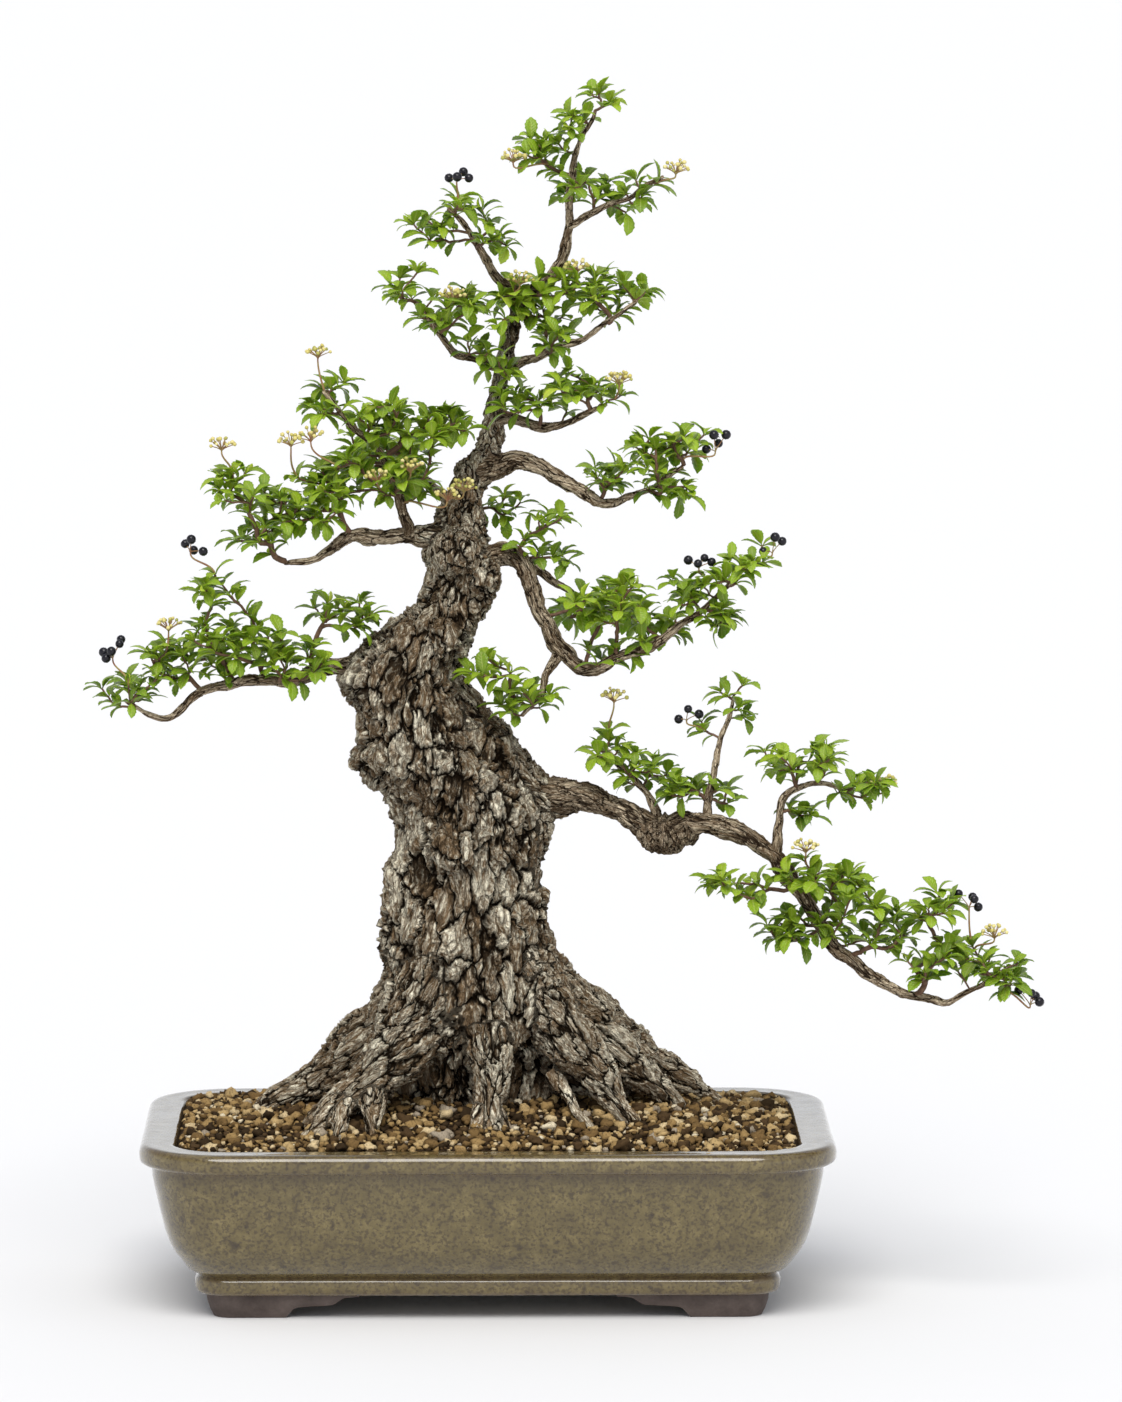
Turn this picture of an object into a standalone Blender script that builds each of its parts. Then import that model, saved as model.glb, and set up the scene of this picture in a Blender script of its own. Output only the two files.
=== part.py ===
"""A flowering bonsai tree in a glazed rectangular pot with cloud feet."""
import math

import bmesh
import bpy
import numpy as np
from mathutils import Vector, noise

# Pot, in metres
POT_LENGTH = 0.420
POT_DEPTH = 0.270
POT_HEIGHT = 0.1055
LIP_WIDTH = 0.022
LIP_DROP = 0.012
CORNER_RADIUS = 0.054
FOOT_HEIGHT = 0.0145
FLOOR_THICKNESS = 0.010
BAND_HEIGHT = 0.0105
BAND_INSET = 0.033
CORNER_STEPS = 6

# Feet
FOOT_INSET = 0.040
FOOT_SOLE_INSET = 0.004
FOOT_THICKNESS = 0.013
FOOT_FRONT_ARM = 0.0925
FOOT_SIDE_ARM = 0.066
FOOT_CORNER_RADIUS = 0.016
FOOT_SOLE_START = 0.48

# Drainage
DRAIN_RADIUS = 0.011
DRAIN_SPACING = 0.180
SCREEN_SIZE = 0.034
SCREEN_THICKNESS = 0.0012
SCREEN_BAR = 0.0022
WIRE_RADIUS = 0.0008
WIRE_LEG = 0.009
WIRE_FOOT = 0.018

# Gaps between touching pieces
CLEARANCE = 0.0003
CARVE_CLEARANCE = 0.0005
CARVE_LEAST = 0.00012
SHELL_LIMIT = 3.0

# Soil
SOIL_BELOW_LIP = 0.0015
MOUND_HEIGHT = 0.017
MOUND_CENTRE = (-0.008, 0.012)
MOUND_SPREAD = (0.160, 0.090)

# Tree: every position below is measured from the middle of the pot's lip plane
TREE_SCALE = 1.0
TRUNK_GIRTH = 1.0
STEM_GIRTH = 1.0
PAD_FULLNESS = 1.0
TRUNK_FACES = 2800
TRUNK_VOXEL = 0.0026
BARK_RELIEF = 0.0022
STEM_SIDES = 7
STEM_STEPS = 2
PAD_FACES = 150
PAD_VOXEL = 0.0030
PAD_RELIEF = 0.0030
PAD_FLATNESS = 0.78
PAD_TWIG_RADIUS = 0.0030
CLUSTER_FACES = 190
CLUSTER_VOXEL = 0.0006
BERRY_RADIUS = 0.0030
FLOWER_RADIUS = 0.0021
STALK_RADIUS = 0.0011

# Trunk rings: centre x, centre y, height, half width, half depth
TRUNK_RINGS = [
    (-0.004, 0.014, -0.022, 0.060, 0.050),
    (-0.004, 0.014, 0.020, 0.062, 0.052),
    (-0.002, 0.013, 0.050, 0.061, 0.051),
    (-0.001, 0.012, 0.079, 0.058, 0.050),
    (-0.006, 0.012, 0.092, 0.055, 0.049),
    (-0.012, 0.012, 0.107, 0.052, 0.047),
    (-0.013, 0.012, 0.129, 0.050, 0.045),
    (-0.016, 0.012, 0.149, 0.045, 0.042),
    (-0.009, 0.012, 0.169, 0.046, 0.043),
    (-0.012, 0.010, 0.197, 0.049, 0.044),
    (-0.028, 0.008, 0.217, 0.051, 0.044),
    (-0.038, 0.006, 0.230, 0.043, 0.041),
    (-0.044, 0.004, 0.248, 0.034, 0.036),
    (-0.053, 0.003, 0.265, 0.037, 0.035),
    (-0.054, 0.003, 0.277, 0.036, 0.034),
    (-0.043, 0.004, 0.293, 0.033, 0.031),
    (-0.033, 0.005, 0.304, 0.027, 0.028),
    (-0.021, 0.006, 0.318, 0.023, 0.024),
    (-0.014, 0.008, 0.334, 0.022, 0.022),
    (-0.018, 0.009, 0.350, 0.0195, 0.019),
    (-0.016, 0.010, 0.364, 0.017, 0.016),
    (-0.014, 0.011, 0.381, 0.0115, 0.012),
    (-0.007, 0.011, 0.397, 0.010, 0.010),
    (0.000, 0.010, 0.411, 0.0085, 0.0085),
    (0.004, 0.010, 0.423, 0.0070, 0.0070),
    (0.006, 0.008, 0.442, 0.0058, 0.0058),
    (0.011, 0.005, 0.466, 0.0048, 0.0048),
    (0.017, 0.002, 0.491, 0.0046, 0.0046),
    (0.019, 0.001, 0.500, 0.0042, 0.0042),
]

# Surface roots: x, y, height, radius
ROOTS = [
    [(-0.040, 0.010, 0.070, 0.030), (-0.078, 0.012, 0.040, 0.020),
     (-0.108, 0.014, 0.021, 0.0135), (-0.128, 0.017, 0.011, 0.010), (-0.150, 0.020, -0.006, 0.007)],
    [(-0.030, -0.010, 0.085, 0.030), (-0.053, -0.028, 0.052, 0.022),
     (-0.075, -0.036, 0.031, 0.017), (-0.093, -0.040, 0.015, 0.012), (-0.110, -0.044, -0.004, 0.008)],
    [(-0.080, -0.038, 0.025, 0.011), (-0.100, -0.058, 0.010, 0.009), (-0.114, -0.076, -0.008, 0.007)],
    [(-0.068, -0.036, 0.030, 0.013), (-0.070, -0.058, 0.014, 0.009), (-0.069, -0.080, -0.008, 0.007)],
    [(-0.022, -0.012, 0.080, 0.026), (-0.028, -0.034, 0.042, 0.017),
     (-0.034, -0.046, 0.020, 0.011), (-0.040, -0.056, -0.004, 0.007)],
    [(-0.004, -0.012, 0.080, 0.028), (0.000, -0.036, 0.042, 0.017),
     (0.002, -0.050, 0.021, 0.012), (0.004, -0.068, -0.006, 0.007)],
    [(0.030, 0.004, 0.085, 0.030), (0.064, -0.004, 0.054, 0.021),
     (0.085, 0.000, 0.031, 0.015), (0.099, 0.008, 0.014, 0.011), (0.112, 0.016, -0.006, 0.008)],
    [(0.032, -0.004, 0.060, 0.020), (0.052, -0.022, 0.028, 0.011), (0.064, -0.036, -0.004, 0.007)],
    [(0.035, 0.020, 0.075, 0.030), (0.075, 0.028, 0.046, 0.020),
     (0.106, 0.036, 0.027, 0.013), (0.128, 0.043, 0.014, 0.010), (0.152, 0.050, -0.006, 0.007)],
    [(0.010, 0.030, 0.060, 0.028), (0.030, 0.058, 0.024, 0.015), (0.044, 0.084, -0.006, 0.008)],
    [(-0.030, 0.030, 0.060, 0.028), (-0.060, 0.056, 0.024, 0.015), (-0.080, 0.080, -0.006, 0.008)],
]

# Stems: the piece each one grows from, then x, y, height and radius along it
STEMS = {
    'stem_lower_left': ('trunk', [
        (-0.068, 0.002, 0.278, 0.0055),
        (-0.098, -0.006, 0.281, 0.0050),
        (-0.117, -0.016, 0.274, 0.0040),
        (-0.135, -0.022, 0.273, 0.0035),
        (-0.157, -0.027, 0.272, 0.0030),
        (-0.172, -0.030, 0.267, 0.0026),
        (-0.191, -0.033, 0.252, 0.0021),
        (-0.204, -0.036, 0.254, 0.0016),
        (-0.218, -0.038, 0.263, 0.0011),
    ]),
    'stem_upper_left': ('trunk', [
        (-0.016, 0.008, 0.356, 0.0070),
        (-0.038, 0.004, 0.359, 0.0060),
        (-0.061, -0.004, 0.359, 0.0046),
        (-0.085, -0.012, 0.360, 0.0036),
        (-0.098, -0.016, 0.350, 0.0028),
        (-0.107, -0.020, 0.347, 0.0022),
        (-0.122, -0.024, 0.346, 0.0013),
    ]),
    'stem_upper_left_riser': ('stem_upper_left', [
        (-0.048, 0.000, 0.359, 0.0040),
        (-0.050, 0.000, 0.370, 0.0036),
        (-0.054, -0.003, 0.384, 0.0032),
        (-0.059, -0.006, 0.402, 0.0028),
        (-0.069, -0.008, 0.416, 0.0022),
        (-0.086, -0.010, 0.431, 0.0017),
        (-0.098, -0.012, 0.448, 0.0013),
    ]),
    'stem_apex_low_right': ('trunk', [
        (0.005, 0.009, 0.427, 0.0040),
        (0.017, 0.006, 0.430, 0.0034),
        (0.031, 0.000, 0.425, 0.0030),
        (0.042, -0.006, 0.426, 0.0025),
        (0.059, -0.012, 0.434, 0.0018),
        (0.072, -0.016, 0.442, 0.0012),
    ]),
    'stem_apex_low_left': ('trunk', [
        (0.011, 0.006, 0.462, 0.0030),
        (-0.006, 0.000, 0.466, 0.0026),
        (-0.019, -0.006, 0.471, 0.0023),
        (-0.026, -0.010, 0.480, 0.0020),
        (-0.034, -0.013, 0.492, 0.0016),
        (-0.043, -0.016, 0.502, 0.0012),
    ]),
    'stem_apex_mid_right': ('trunk', [
        (0.012, 0.005, 0.459, 0.0028),
        (0.034, 0.000, 0.470, 0.0023),
        (0.051, -0.005, 0.477, 0.0019),
        (0.072, -0.010, 0.488, 0.0015),
        (0.090, -0.014, 0.502, 0.0011),
    ]),
    'stem_leader': ('trunk', [
        (0.018, 0.000, 0.499, 0.0040),
        (0.027, -0.001, 0.507, 0.0039),
        (0.036, -0.002, 0.512, 0.0036),
        (0.044, -0.004, 0.526, 0.0032),
        (0.050, -0.006, 0.543, 0.0028),
        (0.050, -0.008, 0.571, 0.0022),
        (0.051, -0.009, 0.583, 0.0019),
        (0.059, -0.010, 0.602, 0.0015),
        (0.065, -0.011, 0.617, 0.0011),
    ]),
    'stem_apex_left': ('stem_leader', [
        (0.023, -0.001, 0.504, 0.0030),
        (0.012, -0.002, 0.511, 0.0030),
        (0.002, -0.004, 0.520, 0.0028),
        (-0.006, -0.008, 0.534, 0.0022),
        (-0.014, -0.010, 0.548, 0.0017),
        (-0.023, -0.012, 0.559, 0.0012),
    ]),
    'stem_leader_right': ('stem_leader', [
        (0.050, -0.006, 0.548, 0.0022),
        (0.071, -0.010, 0.559, 0.0018),
        (0.087, -0.013, 0.565, 0.0015),
        (0.099, -0.015, 0.573, 0.0012),
        (0.107, -0.017, 0.579, 0.0010),
    ]),
    'stem_upper_right': ('trunk', [
        (-0.004, 0.009, 0.399, 0.0070),
        (0.008, 0.006, 0.402, 0.0066),
        (0.020, 0.002, 0.404, 0.0056),
        (0.035, -0.004, 0.401, 0.0048),
        (0.051, -0.009, 0.391, 0.0042),
        (0.062, -0.013, 0.384, 0.0034),
        (0.075, -0.016, 0.379, 0.0028),
        (0.085, -0.019, 0.384, 0.0023),
        (0.097, -0.021, 0.388, 0.0018),
        (0.119, -0.026, 0.404, 0.0012),
    ]),
    'stem_mid_right': ('trunk', [
        (-0.004, 0.008, 0.344, 0.0066),
        (0.014, 0.002, 0.347, 0.0060),
        (0.023, -0.003, 0.340, 0.0054),
        (0.029, -0.008, 0.323, 0.0050),
        (0.036, -0.012, 0.308, 0.0049),
        (0.044, -0.015, 0.293, 0.0049),
        (0.054, -0.018, 0.283, 0.0046),
        (0.067, -0.021, 0.281, 0.0040),
        (0.080, -0.024, 0.288, 0.0034),
        (0.103, -0.028, 0.298, 0.0028),
        (0.118, -0.031, 0.308, 0.0022),
        (0.133, -0.034, 0.320, 0.0017),
        (0.156, -0.038, 0.343, 0.0011),
    ]),
    'stem_mid_right_drop': ('stem_mid_right', [
        (0.043, -0.015, 0.288, 0.0030),
        (0.035, -0.018, 0.275, 0.0024),
        (0.030, -0.020, 0.263, 0.0020),
        (0.021, -0.022, 0.252, 0.0013),
    ]),
    'stem_cascade': ('trunk', [
        (0.020, 0.006, 0.203, 0.0115),
        (0.044, -0.002, 0.200, 0.0096),
        (0.064, -0.008, 0.199, 0.0080),
        (0.083, -0.014, 0.192, 0.0076),
        (0.103, -0.019, 0.181, 0.0078),
        (0.122, -0.023, 0.187, 0.0069),
        (0.145, -0.028, 0.182, 0.0063),
        (0.160, -0.031, 0.176, 0.0056),
        (0.174, -0.034, 0.167, 0.0052),
        (0.187, -0.038, 0.150, 0.0048),
        (0.197, -0.041, 0.133, 0.0044),
        (0.210, -0.044, 0.115, 0.0041),
        (0.233, -0.048, 0.094, 0.0035),
        (0.252, -0.050, 0.087, 0.0029),
        (0.271, -0.052, 0.080, 0.0023),
        (0.287, -0.054, 0.084, 0.0018),
        (0.302, -0.056, 0.094, 0.0014),
        (0.314, -0.058, 0.102, 0.0010),
    ]),
    'stem_cascade_inner': ('stem_cascade', [
        (0.104, -0.018, 0.186, 0.0030),
        (0.096, -0.015, 0.205, 0.0023),
        (0.078, -0.012, 0.223, 0.0018),
        (0.069, -0.010, 0.232, 0.0011),
    ]),
    'stem_cascade_tall': ('stem_cascade', [
        (0.133, -0.024, 0.187, 0.0028),
        (0.136, -0.022, 0.212, 0.0022),
        (0.141, -0.020, 0.232, 0.0018),
        (0.148, -0.017, 0.261, 0.0011),
    ]),
    'stem_cascade_crown': ('stem_cascade', [
        (0.174, -0.034, 0.166, 0.0032),
        (0.177, -0.031, 0.186, 0.0024),
        (0.180, -0.028, 0.201, 0.0021),
        (0.196, -0.026, 0.210, 0.0017),
        (0.217, -0.024, 0.206, 0.0011),
    ]),
    'stem_rear_left': ('trunk', [
        (-0.012, 0.012, 0.362, 0.0050),
        (-0.025, 0.038, 0.380, 0.0036),
        (-0.045, 0.058, 0.390, 0.0026),
        (-0.066, 0.072, 0.396, 0.0014),
    ]),
    'stem_rear_right': ('trunk', [
        (-0.010, 0.012, 0.342, 0.0050),
        (0.014, 0.034, 0.345, 0.0036),
        (0.034, 0.050, 0.332, 0.0028),
        (0.062, 0.060, 0.312, 0.0014),
    ]),
}

# Leaf masses: x, y, height and radius of each rounded tuft
LEAF_PADS = {
    'leaves_lower_left': [
        (-0.219, -0.030, 0.268, 0.018),
        (-0.195, -0.030, 0.284, 0.023),
        (-0.164, -0.030, 0.293, 0.026),
        (-0.137, -0.030, 0.293, 0.023),
        (-0.113, -0.030, 0.284, 0.019),
        (-0.164, -0.030, 0.328, 0.016),
    ],
    'leaves_lower_left_inner': [
        (-0.098, -0.006, 0.312, 0.013),
        (-0.078, -0.006, 0.313, 0.015),
    ],
    'leaves_upper_left_outer': [
        (-0.149, -0.022, 0.388, 0.018),
        (-0.128, -0.022, 0.377, 0.023),
        (-0.102, -0.022, 0.383, 0.026),
        (-0.136, -0.022, 0.359, 0.017),
    ],
    'leaves_upper_left_inner': [
        (-0.092, -0.008, 0.443, 0.019),
        (-0.068, -0.008, 0.433, 0.022),
        (-0.040, -0.008, 0.424, 0.021),
        (-0.019, -0.008, 0.430, 0.016),
        (-0.053, -0.008, 0.393, 0.021),
        (-0.082, -0.008, 0.400, 0.022),
    ],
    'leaves_apex_left': [
        (-0.034, -0.012, 0.544, 0.015),
        (-0.013, -0.012, 0.559, 0.016),
        (0.003, -0.012, 0.541, 0.015),
    ],
    'leaves_apex_leader': [
        (0.033, -0.010, 0.594, 0.016),
        (0.055, -0.010, 0.610, 0.015),
        (0.068, -0.010, 0.625, 0.010),
        (0.056, -0.010, 0.573, 0.018),
        (0.081, -0.010, 0.566, 0.016),
        (0.099, -0.010, 0.574, 0.011),
    ],
    'leaves_apex_low_left': [
        (-0.046, -0.016, 0.513, 0.015),
        (-0.029, -0.016, 0.493, 0.017),
        (-0.010, -0.016, 0.503, 0.016),
        (-0.005, -0.016, 0.476, 0.012),
    ],
    'leaves_apex_mid': [
        (0.021, -0.002, 0.503, 0.018),
        (0.044, -0.002, 0.507, 0.019),
        (0.070, -0.002, 0.503, 0.021),
        (0.093, -0.002, 0.503, 0.013),
        (0.044, -0.002, 0.481, 0.018),
    ],
    'leaves_apex_low': [
        (0.021, -0.008, 0.442, 0.017),
        (0.044, -0.008, 0.447, 0.019),
        (0.070, -0.008, 0.445, 0.016),
    ],
    'leaves_upper_right': [
        (0.077, -0.020, 0.395, 0.017),
        (0.100, -0.020, 0.406, 0.021),
        (0.123, -0.020, 0.418, 0.016),
        (0.111, -0.020, 0.390, 0.015),
    ],
    'leaves_trunk_shoot': [
        (0.011, 0.026, 0.374, 0.013),
    ],
    'leaves_mid_upper': [
        (0.029, -0.005, 0.354, 0.012),
        (0.038, -0.005, 0.370, 0.010),
        (0.047, -0.005, 0.347, 0.011),
    ],
    'leaves_mid_inner': [
        (0.059, -0.022, 0.315, 0.019),
        (0.081, -0.022, 0.321, 0.022),
        (0.102, -0.022, 0.303, 0.019),
        (0.074, -0.022, 0.289, 0.015),
    ],
    'leaves_mid_outer': [
        (0.124, -0.036, 0.328, 0.019),
        (0.147, -0.036, 0.342, 0.017),
        (0.164, -0.036, 0.349, 0.011),
        (0.138, -0.036, 0.312, 0.015),
    ],
    'leaves_mid_drop': [
        (0.002, -0.020, 0.278, 0.016),
        (0.020, -0.020, 0.260, 0.016),
        (0.035, -0.020, 0.261, 0.011),
    ],
    'leaves_cascade_inner': [
        (0.069, -0.012, 0.233, 0.015),
        (0.093, -0.012, 0.217, 0.017),
        (0.117, -0.012, 0.208, 0.018),
        (0.140, -0.012, 0.204, 0.015),
    ],
    'leaves_cascade_tall': [
        (0.146, -0.018, 0.268, 0.011),
        (0.150, -0.018, 0.252, 0.009),
    ],
    'leaves_cascade_crown': [
        (0.179, -0.026, 0.224, 0.016),
        (0.202, -0.026, 0.226, 0.016),
        (0.220, -0.026, 0.207, 0.015),
        (0.190, -0.026, 0.193, 0.013),
        (0.231, -0.026, 0.209, 0.011),
    ],
    'leaves_cascade_low': [
        (0.138, -0.052, 0.153, 0.012),
        (0.157, -0.052, 0.151, 0.013),
    ],
    'leaves_cascade_middle': [
        (0.195, -0.042, 0.154, 0.021),
        (0.220, -0.042, 0.146, 0.022),
        (0.184, -0.042, 0.123, 0.019),
        (0.237, -0.042, 0.122, 0.021),
    ],
    'leaves_cascade_tip': [
        (0.270, -0.054, 0.138, 0.016),
        (0.268, -0.054, 0.107, 0.021),
        (0.295, -0.054, 0.106, 0.019),
        (0.316, -0.054, 0.096, 0.015),
    ],    'leaves_rear_left': [
        (-0.052, 0.066, 0.400, 0.022),
        (-0.076, 0.078, 0.404, 0.024),
    ],
    'leaves_rear_right': [
        (0.056, 0.060, 0.308, 0.018),
        (0.080, 0.066, 0.308, 0.024),
    ],
}

# Twigs that carry the leaf masses which stand off their branch
PAD_TWIGS = {
    'leaves_lower_left_inner': [(-0.084, -0.004, 0.281), (-0.087, -0.006, 0.300), (-0.082, -0.006, 0.313)],
    'leaves_mid_upper': [(0.022, -0.002, 0.342), (0.030, -0.005, 0.354), (0.038, -0.005, 0.366)],
    'leaves_cascade_low': [(0.165, -0.033, 0.173), (0.160, -0.044, 0.163), (0.152, -0.052, 0.152)],
    'leaves_trunk_shoot': [(-0.012, 0.012, 0.366), (0.002, 0.020, 0.371), (0.011, 0.026, 0.374)],
}
# Flower and berry clusters: foot of the stalk, head of the stalk
FLOWERS = {
    'flowers_apex': ((0.103, -0.016, 0.574), (0.114, -0.018, 0.590)),
    'flowers_upper_left': ((-0.098, -0.012, 0.448), (-0.102, -0.014, 0.479)),
    'flowers_cascade': ((0.226, -0.025, 0.208), (0.241, -0.024, 0.218)),
}
BERRIES = {
    'berries_lower_left': ((-0.168, -0.030, 0.320), (-0.179, -0.030, 0.358)),
    'berries_mid_right': ((0.160, -0.037, 0.350), (0.172, -0.040, 0.360)),
    'berries_cascade_tall': ((0.140, -0.020, 0.248), (0.121, -0.018, 0.256)),
    'berries_cascade_tip': ((0.274, -0.054, 0.120), (0.291, -0.054, 0.142)),
}
BERRY_SPOTS = [(-0.005, 0.000, 0.004), (0.005, 0.003, 0.005), (0.002, -0.004, -0.001), (-0.001, 0.003, 0.011)]
FLOWER_SPOTS = [
    (-0.006, 0.000, 0.001), (0.006, 0.001, 0.001), (0.000, -0.005, 0.002), (0.000, 0.006, 0.002),
    (-0.003, -0.002, 0.005), (0.003, 0.003, 0.006), (0.000, 0.000, 0.008),
]

# Colours, roughness
LOOKS = {
    'glaze_olive': ((0.190, 0.160, 0.090), 0.25),
    'clay_bare': ((0.100, 0.080, 0.070), 0.85),
    'soil_granules': ((0.210, 0.130, 0.070), 0.95),
    'bark_craggy': ((0.250, 0.200, 0.150), 0.90),
    'bark_smooth': ((0.170, 0.120, 0.085), 0.80),
    'leaf_green': ((0.130, 0.290, 0.050), 0.45),
    'flower_cream': ((0.720, 0.660, 0.300), 0.60),
    'berry_black': ((0.010, 0.010, 0.014), 0.20),
    'mesh_plastic': ((0.020, 0.020, 0.020), 0.60),
    'wire_aluminium': ((0.600, 0.600, 0.600), 0.35),
}


def material(slot):
    found = bpy.data.materials.get(slot)
    if found:
        return found
    colour, roughness = LOOKS[slot]
    made = bpy.data.materials.new(slot)
    made.use_nodes = True
    shader = made.node_tree.nodes['Principled BSDF']
    shader.inputs['Base Color'].default_value = (*colour, 1.0)
    shader.inputs['Roughness'].default_value = roughness
    shader.inputs['Metallic'].default_value = 1.0 if slot == 'wire_aluminium' else 0.0
    return made


def make_object(name, bm, slot):
    bmesh.ops.recalc_face_normals(bm, faces=bm.faces)
    mesh = bpy.data.meshes.new(name)
    bm.to_mesh(mesh)
    bm.free()
    made = bpy.data.objects.new(name, mesh)
    bpy.context.scene.collection.objects.link(made)
    made.data.materials.append(material(slot))
    return made


def bake(obj):
    """Turn the object's modifiers into its mesh."""
    graph = bpy.context.evaluated_depsgraph_get()
    mesh = bpy.data.meshes.new_from_object(obj.evaluated_get(graph))
    obj.modifiers.clear()
    obj.data = mesh


def drop(obj):
    bpy.data.objects.remove(obj, do_unlink=True)


def rounded_loop(half_x, half_y, radius, z):
    """Points of a rounded rectangle, anticlockwise from above."""
    points = []
    corners = [(1, 1, 0.0), (-1, 1, 0.5), (-1, -1, 1.0), (1, -1, 1.5)]
    for sign_x, sign_y, turn in corners:
        for step in range(CORNER_STEPS + 1):
            angle = math.pi * (turn + 0.5 * step / CORNER_STEPS)
            x = sign_x * (half_x - radius) + radius * math.cos(angle)
            y = sign_y * (half_y - radius) + radius * math.sin(angle)
            points.append(Vector((x, y, z)))
    return points


def pot_loop(inset, z):
    radius = max(CORNER_RADIUS - inset, 0.010)
    return rounded_loop(POT_LENGTH / 2 - inset, POT_DEPTH / 2 - inset, radius, z)


def skin_loops(bm, loops, caps=True):
    """Skin equal loops of points into a tube, closed with a face at each end."""
    rings = [[bm.verts.new(point) for point in loop] for loop in loops]
    count = len(rings[0])
    for low, high in zip(rings, rings[1:]):
        for i in range(count):
            j = (i + 1) % count
            bm.faces.new((low[i], low[j], high[j], high[i]))
    if caps:
        bm.faces.new(list(reversed(rings[0])))
        bm.faces.new(rings[-1])
    return rings


def cut(target, cutter):
    """Take the cutter away from the target, and drop the cutter."""
    step = target.modifiers.new('Cut', 'BOOLEAN')
    step.operation = 'DIFFERENCE'
    step.solver = 'EXACT'
    step.use_self = True
    step.object = cutter
    bake(target)
    drop(cutter)


def extent(obj):
    corners = np.array([v.co for v in obj.data.vertices])
    return corners.min(axis=0), corners.max(axis=0)


def near(one, other, gap=0.002):
    low_a, high_a = extent(one)
    low_b, high_b = extent(other)
    return bool(np.all(low_a - gap < high_b) and np.all(low_b - gap < high_a))


def push_out(obj, distance_at):
    """Move every vertex along its normal by the distance asked for at its place."""
    spots = [vertex.co.copy() for vertex in obj.data.vertices]
    normals = [vertex.normal.copy() for vertex in obj.data.vertices]
    for vertex, spot, normal in zip(obj.data.vertices, spots, normals):
        vertex.co = spot + normal * distance_at(spot)
    obj.data.update()


def swollen(obj, distance):
    """A copy of the object with every face moved out by the distance."""
    bm = bmesh.new()
    bm.from_mesh(obj.data)
    bm.normal_update()
    moves = [vertex.normal * distance * min(vertex.calc_shell_factor(), SHELL_LIMIT) for vertex in bm.verts]
    for vertex, move in zip(bm.verts, moves):
        vertex.co = vertex.co + move
    copy = bpy.data.objects.new('Cutter', bpy.data.meshes.new('Cutter'))
    bm.to_mesh(copy.data)
    bm.free()
    bpy.context.scene.collection.objects.link(copy)
    return copy


def keep_largest(obj):
    """Drop any crumb that a cut has left beside the main body."""
    bm = bmesh.new()
    bm.from_mesh(obj.data)
    bmesh.ops.remove_doubles(bm, verts=bm.verts, dist=0.00001)
    bmesh.ops.dissolve_degenerate(bm, edges=bm.edges, dist=0.00001)
    left = set(bm.faces)
    islands = []
    while left:
        island = [left.pop()]
        for face in island:
            for edge in face.edges:
                for touching in edge.link_faces if edge.is_manifold else ():
                    if touching in left:
                        left.discard(touching)
                        island.append(touching)
        islands.append(island)
    main = max(islands, key=len)
    crumbs = [face for island in islands if island is not main for face in island]
    bmesh.ops.delete(bm, geom=crumbs, context='FACES')
    bm.to_mesh(obj.data)
    bm.free()


def volume(mesh):
    bm = bmesh.new()
    bm.from_mesh(mesh)
    size = bm.calc_volume()
    bm.free()
    return size


def carve(target, others):
    """Give the target room for every neighbour that reaches it.

    A cut that takes more than the neighbour could fill is made again a little wider. A second,
    closer cut clears any crease that the wide one folds over.
    """
    for other in others:
        if not near(target, other):
            continue
        whole = target.data.copy()
        most = volume(other.data) * 1.5 + volume(whole) * 0.45
        for wider in (1.0, 1.15, 1.3, 1.5):
            target.data = whole.copy()
            cut(target, swollen(other, CARVE_CLEARANCE * wider))
            if len(target.data.vertices):
                keep_largest(target)
            if volume(whole) - volume(target.data) < most:
                break
        cut(target, swollen(other, CARVE_LEAST))
        keep_largest(target)


def grown(x, y, z):
    """A place on the tree, from the middle of the pot's lip plane."""
    return Vector((x * TREE_SCALE, y * TREE_SCALE, POT_HEIGHT + z * TREE_SCALE))


def spline(values, steps):
    """A smooth run of values through the given ones."""
    values = np.array(values, dtype=float)
    padded = np.vstack([2 * values[0] - values[1], values, 2 * values[-1] - values[-2]])
    out = []
    for i in range(len(values) - 1):
        a, b, c, d = padded[i:i + 4]
        for step in range(steps):
            t = step / steps
            out.append(0.5 * (2 * b + (c - a) * t + (2 * a - 5 * b + 4 * c - d) * t * t
                              + (3 * b - a - 3 * c + d) * t ** 3))
    out.append(values[-1])
    return np.array(out)


def sweep(bm, centres, radii, sides):
    """A round tube along the centres, with a frame that never twists."""
    centres = [Vector(c) for c in centres]
    loops = []
    side = Vector((0.0, 1.0, 0.0))
    for i, centre in enumerate(centres):
        before = centres[max(i - 1, 0)]
        after = centres[min(i + 1, len(centres) - 1)]
        along = (after - before).normalized()
        if abs(along.dot(side)) > 0.95:
            side = Vector((1.0, 0.0, 0.0))
        side = (side - along * along.dot(side)).normalized()
        across = along.cross(side)
        ring = []
        for k in range(sides):
            angle = 2 * math.pi * k / sides
            ring.append(centre + (side * math.cos(angle) + across * math.sin(angle)) * radii[i])
        loops.append(ring)
    skin_loops(bm, loops)


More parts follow.
